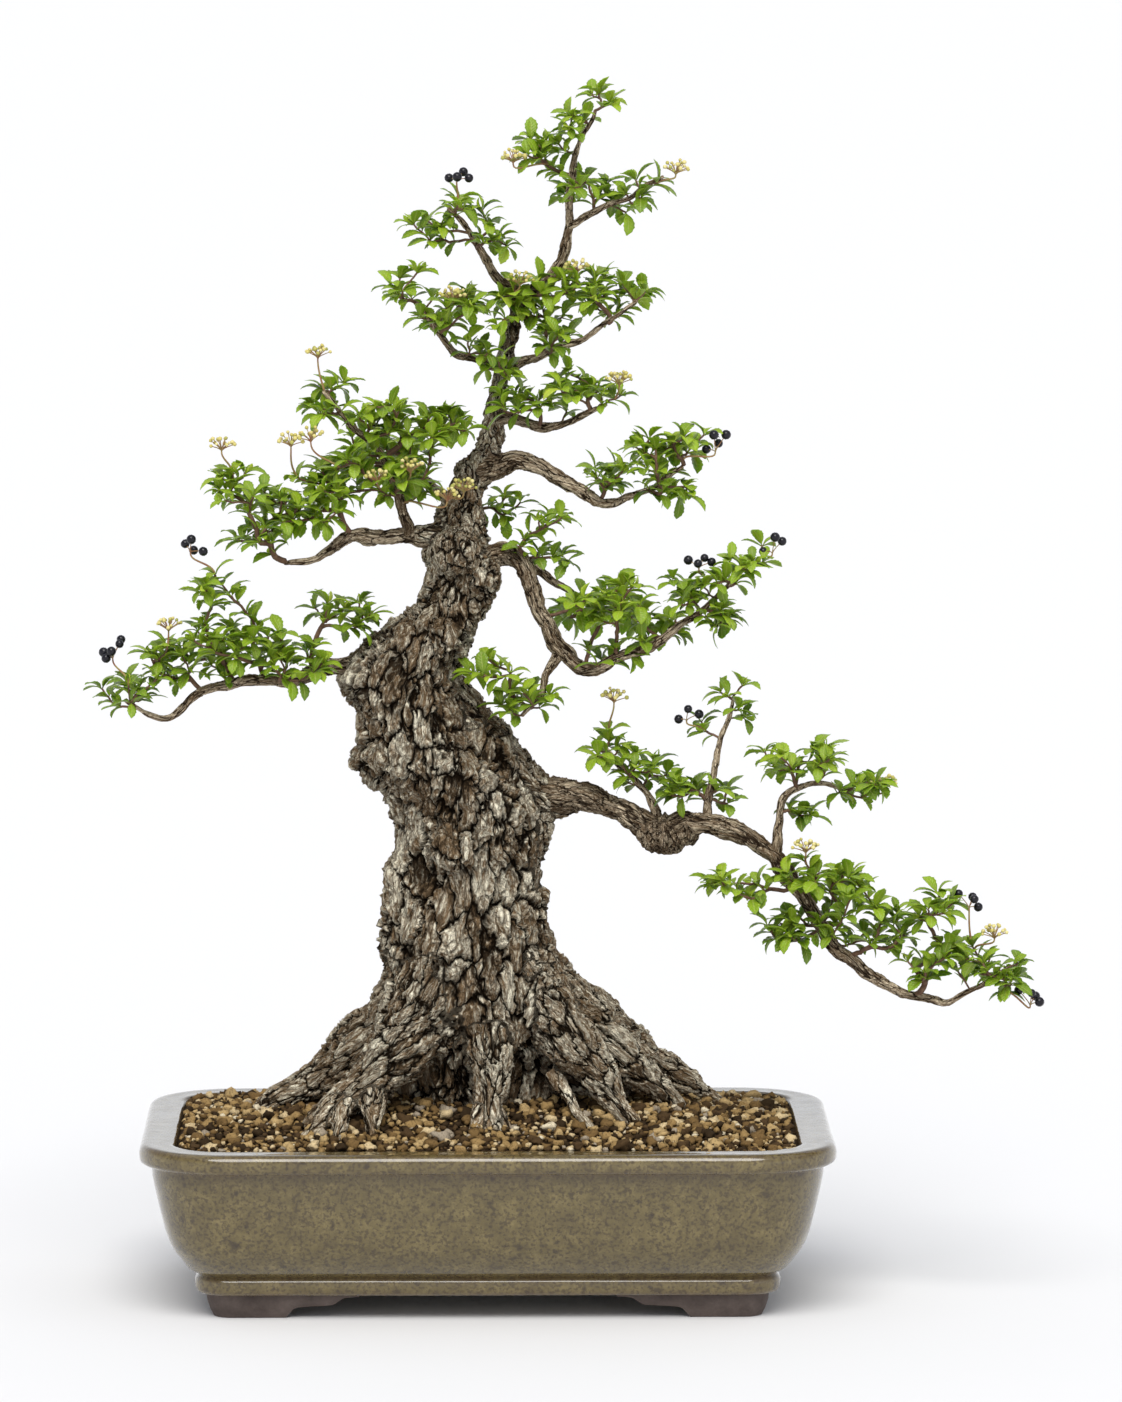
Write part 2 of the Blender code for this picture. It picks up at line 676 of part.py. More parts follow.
def make_pot():
    wall = POT_HEIGHT - FOOT_HEIGHT
    lip_under = POT_HEIGHT - LIP_DROP
    band_top = FOOT_HEIGHT + BAND_HEIGHT
    floor = FOOT_HEIGHT + FLOOR_THICKNESS
    profile = [
        (BAND_INSET + 0.005, FOOT_HEIGHT),
        (BAND_INSET + 0.001, FOOT_HEIGHT + 0.0015),
        (BAND_INSET, band_top - 0.0010),
        (BAND_INSET + 0.0015, band_top + 0.0005),
        (BAND_INSET - 0.001, band_top + 0.0025),
        (0.024, FOOT_HEIGHT + wall * 0.24),
        (0.018, FOOT_HEIGHT + wall * 0.34),
        (0.013, FOOT_HEIGHT + wall * 0.53),
        (0.009, FOOT_HEIGHT + wall * 0.72),
        (0.0075, lip_under - 0.0015),
        (0.002, lip_under),
        (0.0, lip_under + 0.0030),
        (0.0, POT_HEIGHT - 0.0040),
        (0.002, POT_HEIGHT - 0.0010),
        (0.005, POT_HEIGHT),
        (LIP_WIDTH - 0.0025, POT_HEIGHT),
        (LIP_WIDTH, POT_HEIGHT - SOIL_BELOW_LIP),
        (LIP_WIDTH + 0.001, POT_HEIGHT - LIP_DROP),
        (LIP_WIDTH + 0.003, FOOT_HEIGHT + wall * 0.53),
        (LIP_WIDTH + 0.010, FOOT_HEIGHT + wall * 0.28),
        (LIP_WIDTH + 0.020, floor),
    ]
    bm = bmesh.new()
    skin_loops(bm, [pot_loop(inset, z) for inset, z in profile])
    pot = make_object('pot_body', bm, 'glaze_olive')
    for side in (-1, 1):
        cut(pot, drain_core(side))
    return pot


def drain_core(side):
    bm = bmesh.new()
    place = (side * DRAIN_SPACING / 2, 0.0)
    loops = []
    for z in (FOOT_HEIGHT - 0.005, FOOT_HEIGHT + FLOOR_THICKNESS + 0.005):
        loops.append([Vector((place[0] + DRAIN_RADIUS * math.cos(2 * math.pi * k / 20),
                              place[1] + DRAIN_RADIUS * math.sin(2 * math.pi * k / 20), z))
                      for k in range(20)])
    skin_loops(bm, loops)
    return make_object('Cutter', bm, 'clay_bare')


def foot_path():
    """Outer face of a foot seen from above: place, inward direction, height of its sole."""
    top = FOOT_HEIGHT - CLEARANCE
    half_x = POT_LENGTH / 2 - FOOT_INSET
    half_y = POT_DEPTH / 2 - FOOT_INSET
    rises = [(0.0, 0.93), (0.08, 0.90), (0.14, 0.55), (0.26, 0.50), (0.42, 0.42), (FOOT_SOLE_START, 0.0)]
    stations = []
    for share, rise in rises:
        spot = Vector((half_x - FOOT_FRONT_ARM * (1 - share), half_y))
        stations.append((spot, Vector((0, -1)), rise * top))
    for step in range(CORNER_STEPS + 1):
        angle = 0.5 * math.pi * (1 - step / CORNER_STEPS)
        out = Vector((math.cos(angle), math.sin(angle)))
        middle = Vector((half_x - FOOT_CORNER_RADIUS, half_y - FOOT_CORNER_RADIUS))
        stations.append((middle + out * FOOT_CORNER_RADIUS, -out, 0.0))
    for share, rise in reversed(rises):
        spot = Vector((half_x, half_y - FOOT_SIDE_ARM * (1 - share)))
        stations.append((spot, Vector((-1, 0)), rise * top))
    return stations


def make_foot(name, sign_x, sign_y):
    top = FOOT_HEIGHT - CLEARANCE
    loops = []
    for spot, inward, sole in foot_path():
        tuck = FOOT_SOLE_INSET * (1 - sole / top)
        flat = [(0.0, top), (tuck, sole), (FOOT_THICKNESS, sole), (FOOT_THICKNESS, top)]
        ring = []
        for depth, z in flat:
            place = spot + inward * depth
            ring.append(Vector((sign_x * place.x, sign_y * place.y, z)))
        loops.append(ring)
    bm = bmesh.new()
    skin_loops(bm, loops)
    return make_object(name, bm, 'clay_bare')


def make_screen(name, side):
    """A square plastic mesh of nine windows, lying over a drain hole."""
    bm = bmesh.new()
    bmesh.ops.create_grid(bm, x_segments=3, y_segments=3, size=SCREEN_SIZE / 2)
    panes = bmesh.ops.inset_individual(bm, faces=bm.faces[:], thickness=SCREEN_BAR)
    rims = set(panes['faces'])
    bmesh.ops.delete(bm, geom=[f for f in bm.faces if f not in rims], context='FACES_ONLY')
    lifted = bmesh.ops.extrude_face_region(bm, geom=bm.faces[:])
    raised = [v for v in lifted['geom'] if isinstance(v, bmesh.types.BMVert)]
    bmesh.ops.translate(bm, verts=raised, vec=(0, 0, SCREEN_THICKNESS))
    base = FOOT_HEIGHT + FLOOR_THICKNESS + CLEARANCE
    bmesh.ops.translate(bm, verts=bm.verts, vec=(side * DRAIN_SPACING / 2, 0, base))
    return make_object(name, bm, 'mesh_plastic')


def wire_top():
    return FOOT_HEIGHT + FLOOR_THICKNESS + CLEARANCE + SCREEN_THICKNESS + 0.0010 + WIRE_RADIUS


def make_clip(name, side):
    """A staple of wire over the screen, its legs bent out under the pot."""
    low = FOOT_HEIGHT - 0.0009 - WIRE_RADIUS
    top = wire_top()
    half = [(WIRE_LEG * 0.8, top), (WIRE_LEG, top - 0.0012), (WIRE_LEG, FOOT_HEIGHT + 0.0015),
            (WIRE_LEG + 0.0008, low), (WIRE_FOOT, low)]
    outline = [(-x, z) for x, z in reversed(half)] + half
    centres = [(side * DRAIN_SPACING / 2 + x, 0.0, z) for x, z in outline]
    bm = bmesh.new()
    sweep(bm, centres, [WIRE_RADIUS] * len(centres), 8)
    return make_object(name, bm, 'wire_aluminium')


def soil_height(x, y):
    across = ((x - MOUND_CENTRE[0]) / MOUND_SPREAD[0]) ** 2
    along = ((y - MOUND_CENTRE[1]) / MOUND_SPREAD[1]) ** 2
    return POT_HEIGHT - SOIL_BELOW_LIP + MOUND_HEIGHT * math.exp(-across - along)


def make_soil(trunk):
    wall = POT_HEIGHT - FOOT_HEIGHT
    base = FOOT_HEIGHT + FLOOR_THICKNESS + CLEARANCE
    gap = CLEARANCE * 1.5
    loops = [
        pot_loop(LIP_WIDTH + 0.020 + gap, base),
        pot_loop(LIP_WIDTH + 0.010 + gap, FOOT_HEIGHT + wall * 0.28),
        pot_loop(LIP_WIDTH + 0.003 + gap, FOOT_HEIGHT + wall * 0.53),
        pot_loop(LIP_WIDTH + 0.001 + gap, POT_HEIGHT - LIP_DROP),
        pot_loop(LIP_WIDTH + gap, POT_HEIGHT - SOIL_BELOW_LIP),
    ]
    for share in (0.86, 0.70, 0.52, 0.34, 0.16):
        half_x = (POT_LENGTH / 2 - LIP_WIDTH) * share
        half_y = (POT_DEPTH / 2 - LIP_WIDTH) * share
        ring = rounded_loop(half_x, half_y, (CORNER_RADIUS - LIP_WIDTH) * share, 0.0)
        loops.append([Vector((p.x, p.y, soil_height(p.x, p.y))) for p in ring])
    bm = bmesh.new()
    skin_loops(bm, loops)
    soil = make_object('soil_bed', bm, 'soil_granules')
    for side in (-1, 1):
        cut(soil, screen_pocket(side))
    cut(soil, swollen(trunk, CARVE_CLEARANCE))
    keep_largest(soil)
    return soil


def screen_pocket(side):
    half = SCREEN_SIZE / 2 + 0.001
    top = wire_top() + WIRE_RADIUS + 0.0005
    bm = bmesh.new()
    low = FOOT_HEIGHT + FLOOR_THICKNESS - 0.005
    middle = side * DRAIN_SPACING / 2
    loops = []
    for z in (low, top):
        loops.append([Vector((middle + x * half, y * half, z)) for x, y in ((-1, -1), (1, -1), (1, 1), (-1, 1))])
    skin_loops(bm, loops)
    return make_object('Cutter', bm, 'clay_bare')


def remeshed(name, bm, slot, voxel, faces, relief=0.0, grain=60.0):
    """Fuse the loose lumps into one skin, roughen it and thin it out."""
    obj = make_object(name, bm, slot)
    fuse = obj.modifiers.new('Fuse', 'REMESH')
    fuse.mode = 'VOXEL'
    fuse.voxel_size = voxel
    fuse.adaptivity = 0.0
    bake(obj)
    if relief:
        push_out(obj, lambda spot: relief * noise.noise(Vector((spot.x, spot.y, spot.z * 0.5)) * grain))
    thin = obj.modifiers.new('Thin', 'DECIMATE')
    obj.data.calc_loop_triangles()
    thin.ratio = min(1.0, faces / len(obj.data.loop_triangles))
    bake(obj)
    keep_largest(obj)
    return obj


def make_trunk():
    bm = bmesh.new()
    loops = []
    for x, y, z, half_x, half_y in spline(TRUNK_RINGS, 2):
        ring = []
        for k in range(28):
            angle = 2 * math.pi * k / 28
            lobe = 1 + 0.05 * math.sin(3 * angle + z * 30) + 0.04 * math.sin(5 * angle - z * 22)
            place = (x + half_x * TRUNK_GIRTH * lobe * math.cos(angle),
                     y + half_y * TRUNK_GIRTH * lobe * math.sin(angle), z)
            ring.append(grown(*place))
        loops.append(ring)
    skin_loops(bm, loops)
    for root in ROOTS:
        path = spline(root, 3)
        centres = [grown(*p[:3]) for p in path]
        sweep(bm, centres, [p[3] * TRUNK_GIRTH * TREE_SCALE for p in path], 10)
    return remeshed('trunk', bm, 'bark_craggy', TRUNK_VOXEL, TRUNK_FACES, BARK_RELIEF, 90.0)


def make_stem(name, path, parent):
    path = spline(path, STEM_STEPS)
    bm = bmesh.new()
    centres = [grown(*p[:3]) for p in path]
    sweep(bm, centres, [p[3] * STEM_GIRTH * TREE_SCALE for p in path], STEM_SIDES)
    stem = make_object(name, bm, 'bark_smooth')
    carve(stem, [parent])
    return stem


def ball(bm, centre, radii, subdivisions):
    made = bmesh.ops.create_icosphere(bm, subdivisions=subdivisions, radius=1.0)['verts']
    for vertex in made:
        vertex.co = Vector(a * b for a, b in zip(vertex.co, radii)) + centre


def make_pad(name, tufts, neighbours):
    """A leaf mass: rounded tufts in front of and behind each other, fused."""
    bm = bmesh.new()
    for i, (x, y, z, r) in enumerate(tufts):
        radius = r * PAD_FULLNESS * TREE_SCALE
        lean = 0.35 * r * (1 if i % 2 else -1)
        for depth in (-0.6, 0.6):
            centre = grown(x, y + lean + depth * r, z)
            ball(bm, centre, (radius, radius, radius * PAD_FLATNESS), 2)
    if name in PAD_TWIGS:
        path = [grown(*spot) for spot in PAD_TWIGS[name]]
        sweep(bm, path, [PAD_TWIG_RADIUS * TREE_SCALE] * len(path), 6)
    pad = remeshed(name, bm, 'leaf_green', PAD_VOXEL, PAD_FACES, PAD_RELIEF, 110.0)
    carve(pad, neighbours)
    return pad


def make_cluster(name, ends, spots, radius, slot, neighbours):
    """Small balls on pedicels at the head of one stalk."""
    foot, head = (grown(*end) for end in ends)
    bm = bmesh.new()
    sweep(bm, [foot, (foot + head) / 2, head], [STALK_RADIUS] * 3, 6)
    for spot in spots:
        centre = head + Vector(spot)
        ball(bm, centre, (radius, radius, radius), 2)
        sweep(bm, [head - Vector((0, 0, 0.001)), (head + centre) / 2, centre], [STALK_RADIUS * 0.8] * 3, 6)
    cluster = remeshed(name, bm, slot, CLUSTER_VOXEL, CLUSTER_FACES)
    carve(cluster, neighbours)
    return cluster


def make_tree():
    built = {'trunk': make_trunk()}
    for name, (parent, path) in STEMS.items():
        built[name] = make_stem(name, path, built[parent])
        others = [built[n] for n in built if n not in (name, parent)]
        carve(built[name], others)
    for name, tufts in LEAF_PADS.items():
        built[name] = make_pad(name, tufts, list(built.values()))
    for name, ends in BERRIES.items():
        built[name] = make_cluster(name, ends, BERRY_SPOTS, BERRY_RADIUS, 'berry_black', list(built.values()))
    for name, ends in FLOWERS.items():
        built[name] = make_cluster(name, ends, FLOWER_SPOTS, FLOWER_RADIUS, 'flower_cream', list(built.values()))
    return built['trunk']


def centre_on_origin():
    """Slide everything so that the whole object stands centred over the origin."""
    boxes = [extent(obj) for obj in bpy.data.objects]
    low = np.min([box[0] for box in boxes], axis=0)
    high = np.max([box[1] for box in boxes], axis=0)
    slide = Vector((-(low[0] + high[0]) / 2, -(low[1] + high[1]) / 2, -low[2]))
    for obj in bpy.data.objects:
        for vertex in obj.data.vertices:
            vertex.co = vertex.co + slide


def build():
    for obj in list(bpy.data.objects):
        bpy.data.objects.remove(obj, do_unlink=True)
    make_pot()
    for deep, sign_y in (('front', -1), ('back', 1)):
        for wide, sign_x in (('left', -1), ('right', 1)):
            make_foot('pot_foot_%s_%s' % (deep, wide), sign_x, sign_y)
    for wide, side in (('left', -1), ('right', 1)):
        make_screen('drain_screen_%s' % wide, side)
        make_clip('screen_clip_%s' % wide, side)
    trunk = make_tree()
    make_soil(trunk)
    centre_on_origin()


build()
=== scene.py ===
"""The bonsai tree in its glazed pot, as the eye sees it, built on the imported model."""
import math

import bmesh
import bpy
import numpy as np
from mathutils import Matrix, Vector, noise


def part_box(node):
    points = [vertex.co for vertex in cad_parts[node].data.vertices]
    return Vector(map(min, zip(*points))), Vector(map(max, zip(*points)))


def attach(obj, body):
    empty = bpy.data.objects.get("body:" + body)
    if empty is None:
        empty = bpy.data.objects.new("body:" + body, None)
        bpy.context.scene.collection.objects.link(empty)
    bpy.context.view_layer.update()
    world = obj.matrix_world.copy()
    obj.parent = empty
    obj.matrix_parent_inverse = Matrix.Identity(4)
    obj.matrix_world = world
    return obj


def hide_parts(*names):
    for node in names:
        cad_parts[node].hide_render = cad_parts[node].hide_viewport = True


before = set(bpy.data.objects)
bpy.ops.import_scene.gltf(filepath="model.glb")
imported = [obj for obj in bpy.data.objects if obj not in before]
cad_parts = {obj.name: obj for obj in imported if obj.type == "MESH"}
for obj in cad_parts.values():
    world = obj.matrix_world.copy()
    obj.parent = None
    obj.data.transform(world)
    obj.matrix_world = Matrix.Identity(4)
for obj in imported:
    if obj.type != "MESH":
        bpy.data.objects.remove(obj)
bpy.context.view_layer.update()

# ---------------------------------------------------------------- places and sizes, in metres
POT_LOW, POT_HIGH = (np.array(corner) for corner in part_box("pot_body"))
POT_MID = (POT_LOW + POT_HIGH) / 2
HALF_X = (POT_HIGH[0] - POT_LOW[0]) / 2
HALF_Y = (POT_HIGH[1] - POT_LOW[1]) / 2
LIP_Z = POT_HIGH[2]
FOOT_TOP = POT_LOW[2]
ORIGIN = np.array([POT_MID[0], POT_MID[1], LIP_Z])
POT_BASE = np.array([POT_MID[0], POT_MID[1], 0.0])
LIP_WIDTH = 0.022
LIP_DROP = 0.012
CORNER_RADIUS = 0.054
LEAST_RADIUS = 0.010
BAND_HEIGHT = 0.0105
FLOOR_THICKNESS = 0.010
DRAIN_SPACING = 0.180
DRAIN_RADIUS = 0.011
DRAIN_SIDES = 32
FOOT_RADIUS, FOOT_THICKNESS, FOOT_TUCK = 0.016, 0.013, 0.004
SOIL_BELOW_LIP, MOUND_HEIGHT = 0.0015, 0.017
SOIL_UNDER_STONES = 0.0030
STONE_SINK = 0.0045
STONE_CELL = 0.011
FINE_STONE = 0.0030
TRUNK_VOXEL = 0.0015
TRUNK_PLATE_Z = [0.0, 0.10, 0.26, 0.36, 0.44]
TRUNK_PLATE = [0.0135, 0.0140, 0.0125, 0.0085, 0.0050]
TRUNK_RELIEF = 0.0068
ROOT_PLATE = 0.0085
BARK_ZERO = 0.60
THICK_STEM = 0.004
STEM_PLATE, SHOOT_PLATE = 0.0036, 0.0026
TRUNK_SIDES, ROOT_SIDES, STUB_SIDES = 64, 24, 30
THICK_STEM_SIDES, THIN_STEM_SIDES, TWIG_SIDES = 36, 20, 8
STONE_SEED, CHIP_SEED, SPRAY_SEED, CLUSTER_SEED = 21, 5, 100, 900
LEAF_DENSITY = 10.5
LEAF_THICKNESS = 0.00030
TIP_SPACING = 0.0055
ROSETTE_LEAF, PAIR_LEAF, YOUNG_LEAF = (0.0098, 0.0156), (0.0092, 0.0148), (0.0055, 0.0085)
BUD_RADIUS, BERRY_RADIUS = (0.0009, 0.0014), (0.0026, 0.0031)
# The third colour of each bark is near-black painted shade for the bottoms of its cracks.
BARK_LIGHT, BARK_MIDDLE, BARK_CRACK_SHADE = (1.000, 0.930, 0.730), (0.225, 0.148, 0.080), (0.008, 0.004, 0.001)
YOUNG_LIGHT, YOUNG_MIDDLE, YOUNG_CRACK_SHADE = (0.800, 0.670, 0.480), (0.166, 0.106, 0.058), (0.018, 0.010, 0.005)
FLOOR_SIZE, FLOOR_COLOUR = 90.0, (0.797, 0.797, 0.806)
# name, where the light comes from, power, spread in degrees, colour
SUNS = [("key", (-0.06, -0.95, 1.20), 2.62, 38.0, (1.0, 0.98, 0.945)),
        ("top", (0.10, 0.05, 1.0), 0.50, 90.0, (1.0, 1.0, 1.0)),
        ("fill", (0.9, -1.0, 0.6), 0.25, 60.0, (0.95, 0.98, 1.0))]
CAMERA_LENS = 212.4
CAMERA_SHIFT, CAMERA_BACK, CAMERA_HEIGHT = 0.0145, 5.005, 0.9054
CAMERA_DIP, CAMERA_TURN = 0.1078, 0.0119


def metres(rows):
    """Rows written in millimetres, from the middle of the pot's lip plane, as metres."""
    return [tuple(round(value / 1000, 6) for value in row) for row in rows]


# The trunk: x, y, height, half width and half depth of its rings
TRUNK_RINGS = metres([
    (-4, 14, -22, 52, 26), (-4, 14, 20, 53, 27), (-3, 14, 36, 55, 32), (-2, 13, 54, 58, 43),
    (-1, 12, 79, 58, 50), (-6, 12, 92, 55, 49), (-12, 12, 107, 52, 47), (-13, 12, 129, 50, 45),
    (-16, 12, 149, 45, 42), (-9, 12, 169, 46, 43), (-12, 10, 197, 49, 44), (-28, 8, 217, 51, 44),
    (-38, 6, 230, 43, 41), (-44, 4, 248, 34, 36), (-53, 3, 265, 37, 35), (-54, 3, 277, 36, 34),
    (-43, 4, 293, 33, 31), (-33, 5, 304, 27, 28), (-21, 6, 318, 23, 24), (-14, 8, 334, 22, 22),
    (-18, 9, 350, 19.5, 19), (-16, 10, 364, 17, 16), (-14, 11, 381, 11.5, 12), (-7, 11, 397, 10, 10),
    (0, 10, 411, 8.5, 8.5), (4, 10, 423, 7, 7), (6, 8, 442, 5.8, 5.8), (11, 5, 466, 4.8, 4.8),
    (17, 2, 491, 4.6, 4.6), (19, 1, 500, 4.2, 4.2)])
# Surface roots: x, y, height and radius along each
ROOTS = [
    metres([(-40, 10, 70, 30), (-78, 12, 40, 20), (-108, 14, 21, 13.5), (-130, 17, 10, 9),
            (-152, 20, -7, 5)]),
    metres([(-30, -6, 88, 30), (-50, -26, 54, 21), (-73, -36, 32, 16), (-93, -41, 16, 11),
            (-118, -46, -6, 5)]),
    metres([(-80, -38, 26, 10), (-96, -54, 12, 7), (-109, -68, 3, 4.5), (-120, -80, -7, 3)]),
    metres([(-70, -36, 30, 12), (-71, -52, 16, 8), (-70, -66, 6, 5), (-67, -80, -7, 3)]),
    metres([(-84, -42, 22, 8), (-90, -60, 10, 5.5), (-93, -74, 2, 3.8), (-94, -84, -7, 3)]),
    metres([(-18, -10, 92, 24), (-22, -22, 66, 17), (-28, -26, 48, 9)]),
    metres([(-2, -10, 82, 26), (1, -32, 46, 15.5), (2, -44, 25, 11.5), (3, -56, 8, 8), (4, -68, -7, 5)]),
    metres([(1, -48, 18, 8), (-7, -60, 7, 4.8), (-14, -70, -7, 3)]),
    metres([(4, -48, 18, 8), (12, -58, 7, 4.6), (19, -68, -7, 3)]),
    metres([(18, -4, 92, 26), (42, -18, 62, 18.5), (62, -28, 36, 15), (80, -34, 16, 10),
            (96, -40, -6, 6)]),
    metres([(40, -20, 34, 7), (54, -40, 14, 4.6), (62, -56, 6, 3.6), (70, -68, -6, 2.8)]),
    metres([(24, 6, 85, 24), (62, 4, 56, 18), (88, 8, 32, 14), (108, 16, 14, 10), (124, 22, -6, 6)]),
    metres([(30, 20, 75, 26), (73, 28, 46, 20), (106, 36, 27, 13), (130, 43, 13, 9), (154, 50, -7, 5)]),
    metres([(20, 20, 56, 28), (52, 22, 32, 21), (82, 28, 8, 14)]),
    metres([(10, 30, 60, 28), (30, 58, 24, 15), (44, 84, -6, 8)]),
    metres([(-30, 30, 60, 28), (-60, 56, 24, 15), (-80, 80, -6, 8)]),
    metres([(20, 40, 62, 28), (52, 48, 38, 20), (84, 58, 18, 13), (106, 68, -4, 8)]),
    metres([(-30, 36, 66, 26), (-66, 34, 36, 19), (-100, 40, 12, 11), (-118, 46, -6, 7)]),
    metres([(-4, 36, 70, 26), (-12, 56, 36, 16), (-18, 76, 10, 10), (-22, 92, -6, 6)]),
]
# Knots and burls on the trunk: x, y, height, radius
BURLS = metres([
    (-18, -13, 351, 15), (-4, -6, 336, 13), (-74, 0, 268, 11), (-66, -6, 244, 13), (-66, 0, 222, 16),
    (22, 0, 176, 16), (22, 0, 128, 17), (-48, 0, 152, 13), (-52, 0, 118, 14), (-8, 12, 395, 12),
    (-20, -24, 172, 17), (-56, -18, 262, 15), (-4, 30, 330, 12), (-20, 42, 200, 18), (-30, -14, 300, 14)])
# The stub under the cascading branch: x, y, height, radius
STUB = metres([
    (128, -20, 187, 6), (120, -20, 182, 9.5), (111, -20, 179, 11.2), (102, -21, 179, 10.5),
    (95, -21, 180, 6.8), (91, -21, 180, 3)])
# Where the great branches swell out of the trunk: x, y, height, radius
COLLARS = [
    metres([(-30, 6, 250, 26), (-4, 6, 226, 24), (20, 4, 208, 19), (40, 0, 198, 12.5), (56, -2, 194, 10)]),
    metres([(10, 4, 150, 22), (22, 4, 176, 18), (34, 2, 190, 12)]),
    metres([(-50, 2, 270, 20), (-68, 0, 278, 12), (-84, -3, 281, 7)]),
    metres([(-12, 8, 346, 17), (-30, 5, 358, 9.5), (-44, 2, 360, 6.5)]),
]
# Stems: x, y, height and radius along each
STEMS = {
    "stem_lower_left": metres([
        (-68, 2, 278, 5.5), (-98, -6, 281, 5), (-117, -16, 274, 4), (-135, -22, 273, 3.5),
        (-157, -27, 272, 3), (-172, -30, 267, 2.6), (-191, -33, 252, 2.1), (-204, -36, 254, 1.6),
        (-218, -38, 263, 1.1)]),
    "stem_upper_left": metres([
        (-16, 8, 356, 7), (-38, 4, 359, 6), (-61, -4, 359, 4.6), (-85, -12, 360, 3.6),
        (-98, -16, 350, 2.8), (-107, -20, 347, 2.2), (-122, -24, 346, 1.3)]),
    "stem_upper_left_riser": metres([
        (-48, 0, 359, 4), (-50, 0, 370, 3.6), (-54, -3, 384, 3.2), (-59, -6, 402, 2.8),
        (-69, -8, 416, 2.2), (-86, -10, 431, 1.7), (-98, -12, 448, 1.3)]),
    "stem_apex_low_right": metres([
        (5, 9, 427, 4), (17, 6, 430, 3.4), (31, 0, 425, 3), (42, -6, 426, 2.5), (59, -12, 434, 1.8),
        (72, -16, 442, 1.2)]),
    "stem_apex_low_left": metres([
        (11, 6, 462, 3), (-6, 0, 466, 2.6), (-19, -6, 471, 2.3), (-26, -10, 480, 2), (-34, -13, 492, 1.6),
        (-43, -16, 502, 1.2)]),
    "stem_apex_mid_right": metres([
        (12, 5, 459, 2.8), (34, 0, 470, 2.3), (51, -5, 477, 1.9), (72, -10, 488, 1.5), (90, -14, 502, 1.1)]),
    "stem_leader": metres([
        (18, 0, 499, 4), (27, -1, 507, 3.9), (36, -2, 512, 3.6), (44, -4, 526, 3.2), (50, -6, 543, 2.8),
        (50, -8, 571, 2.2), (51, -9, 583, 1.9), (59, -10, 602, 1.5), (65, -11, 617, 1.1)]),
    "stem_apex_left": metres([
        (23, -1, 504, 3), (12, -2, 511, 3), (2, -4, 520, 2.8), (-6, -8, 534, 2.2), (-14, -10, 548, 1.7),
        (-23, -12, 559, 1.2)]),
    "stem_leader_right": metres([
        (50, -6, 548, 2.2), (71, -10, 559, 1.8), (87, -13, 565, 1.5), (99, -15, 573, 1.2),
        (107, -17, 579, 1)]),
    "stem_upper_right": metres([
        (-4, 9, 399, 7), (8, 6, 402, 6.6), (20, 2, 404, 5.6), (35, -4, 401, 4.8), (51, -9, 391, 4.2),
        (62, -13, 384, 3.4), (75, -16, 379, 2.8), (85, -19, 384, 2.3), (97, -21, 388, 1.8),
        (119, -26, 404, 1.2)]),
    "stem_mid_right": metres([
        (-4, 8, 344, 6.6), (14, 2, 347, 6), (23, -3, 340, 5.4), (29, -8, 323, 5), (36, -12, 308, 4.9),
        (44, -15, 293, 4.9), (54, -18, 283, 4.6), (67, -21, 281, 4), (80, -24, 288, 3.4),
        (103, -28, 298, 2.8), (118, -31, 308, 2.2), (133, -34, 320, 1.7), (156, -38, 343, 1.1)]),
    "stem_mid_right_drop": metres([
        (43, -15, 288, 3), (35, -18, 275, 2.4), (30, -20, 263, 2), (21, -22, 252, 1.3)]),
    "stem_cascade": metres([
        (20, 6, 203, 11.5), (44, -2, 200, 9.6), (64, -8, 199, 8), (83, -14, 192, 7.6),
        (103, -19, 181, 7.8), (122, -23, 187, 6.9), (145, -28, 182, 6.3), (160, -31, 176, 5.6),
        (174, -34, 167, 5.2), (187, -38, 150, 4.8), (197, -41, 133, 4.4), (210, -44, 115, 4.1),
        (233, -48, 94, 3.5), (252, -50, 87, 2.9), (271, -52, 80, 2.3), (287, -54, 84, 1.8),
        (302, -56, 94, 1.4), (314, -58, 102, 1)]),
    "stem_cascade_inner": metres([
        (104, -18, 186, 3), (96, -15, 205, 2.3), (78, -12, 223, 1.8), (69, -10, 232, 1.1)]),
    "stem_cascade_tall": metres([
        (133, -24, 187, 2.8), (136, -22, 212, 2.2), (141, -20, 232, 1.8), (148, -17, 261, 1.1)]),
    "stem_cascade_crown": metres([
        (174, -34, 166, 3.2), (177, -31, 186, 2.4), (180, -28, 201, 2.1), (196, -26, 210, 1.7),
        (217, -24, 206, 1.1)]),
    "stem_rear_left": metres([
        (-12, 12, 362, 5), (-25, 38, 380, 3.6), (-45, 58, 390, 2.6), (-66, 72, 396, 1.4)]),
    "stem_rear_right": metres([
        (-10, 12, 342, 5), (14, 34, 345, 3.6), (34, 50, 332, 2.8), (62, 60, 312, 1.4)]),
}
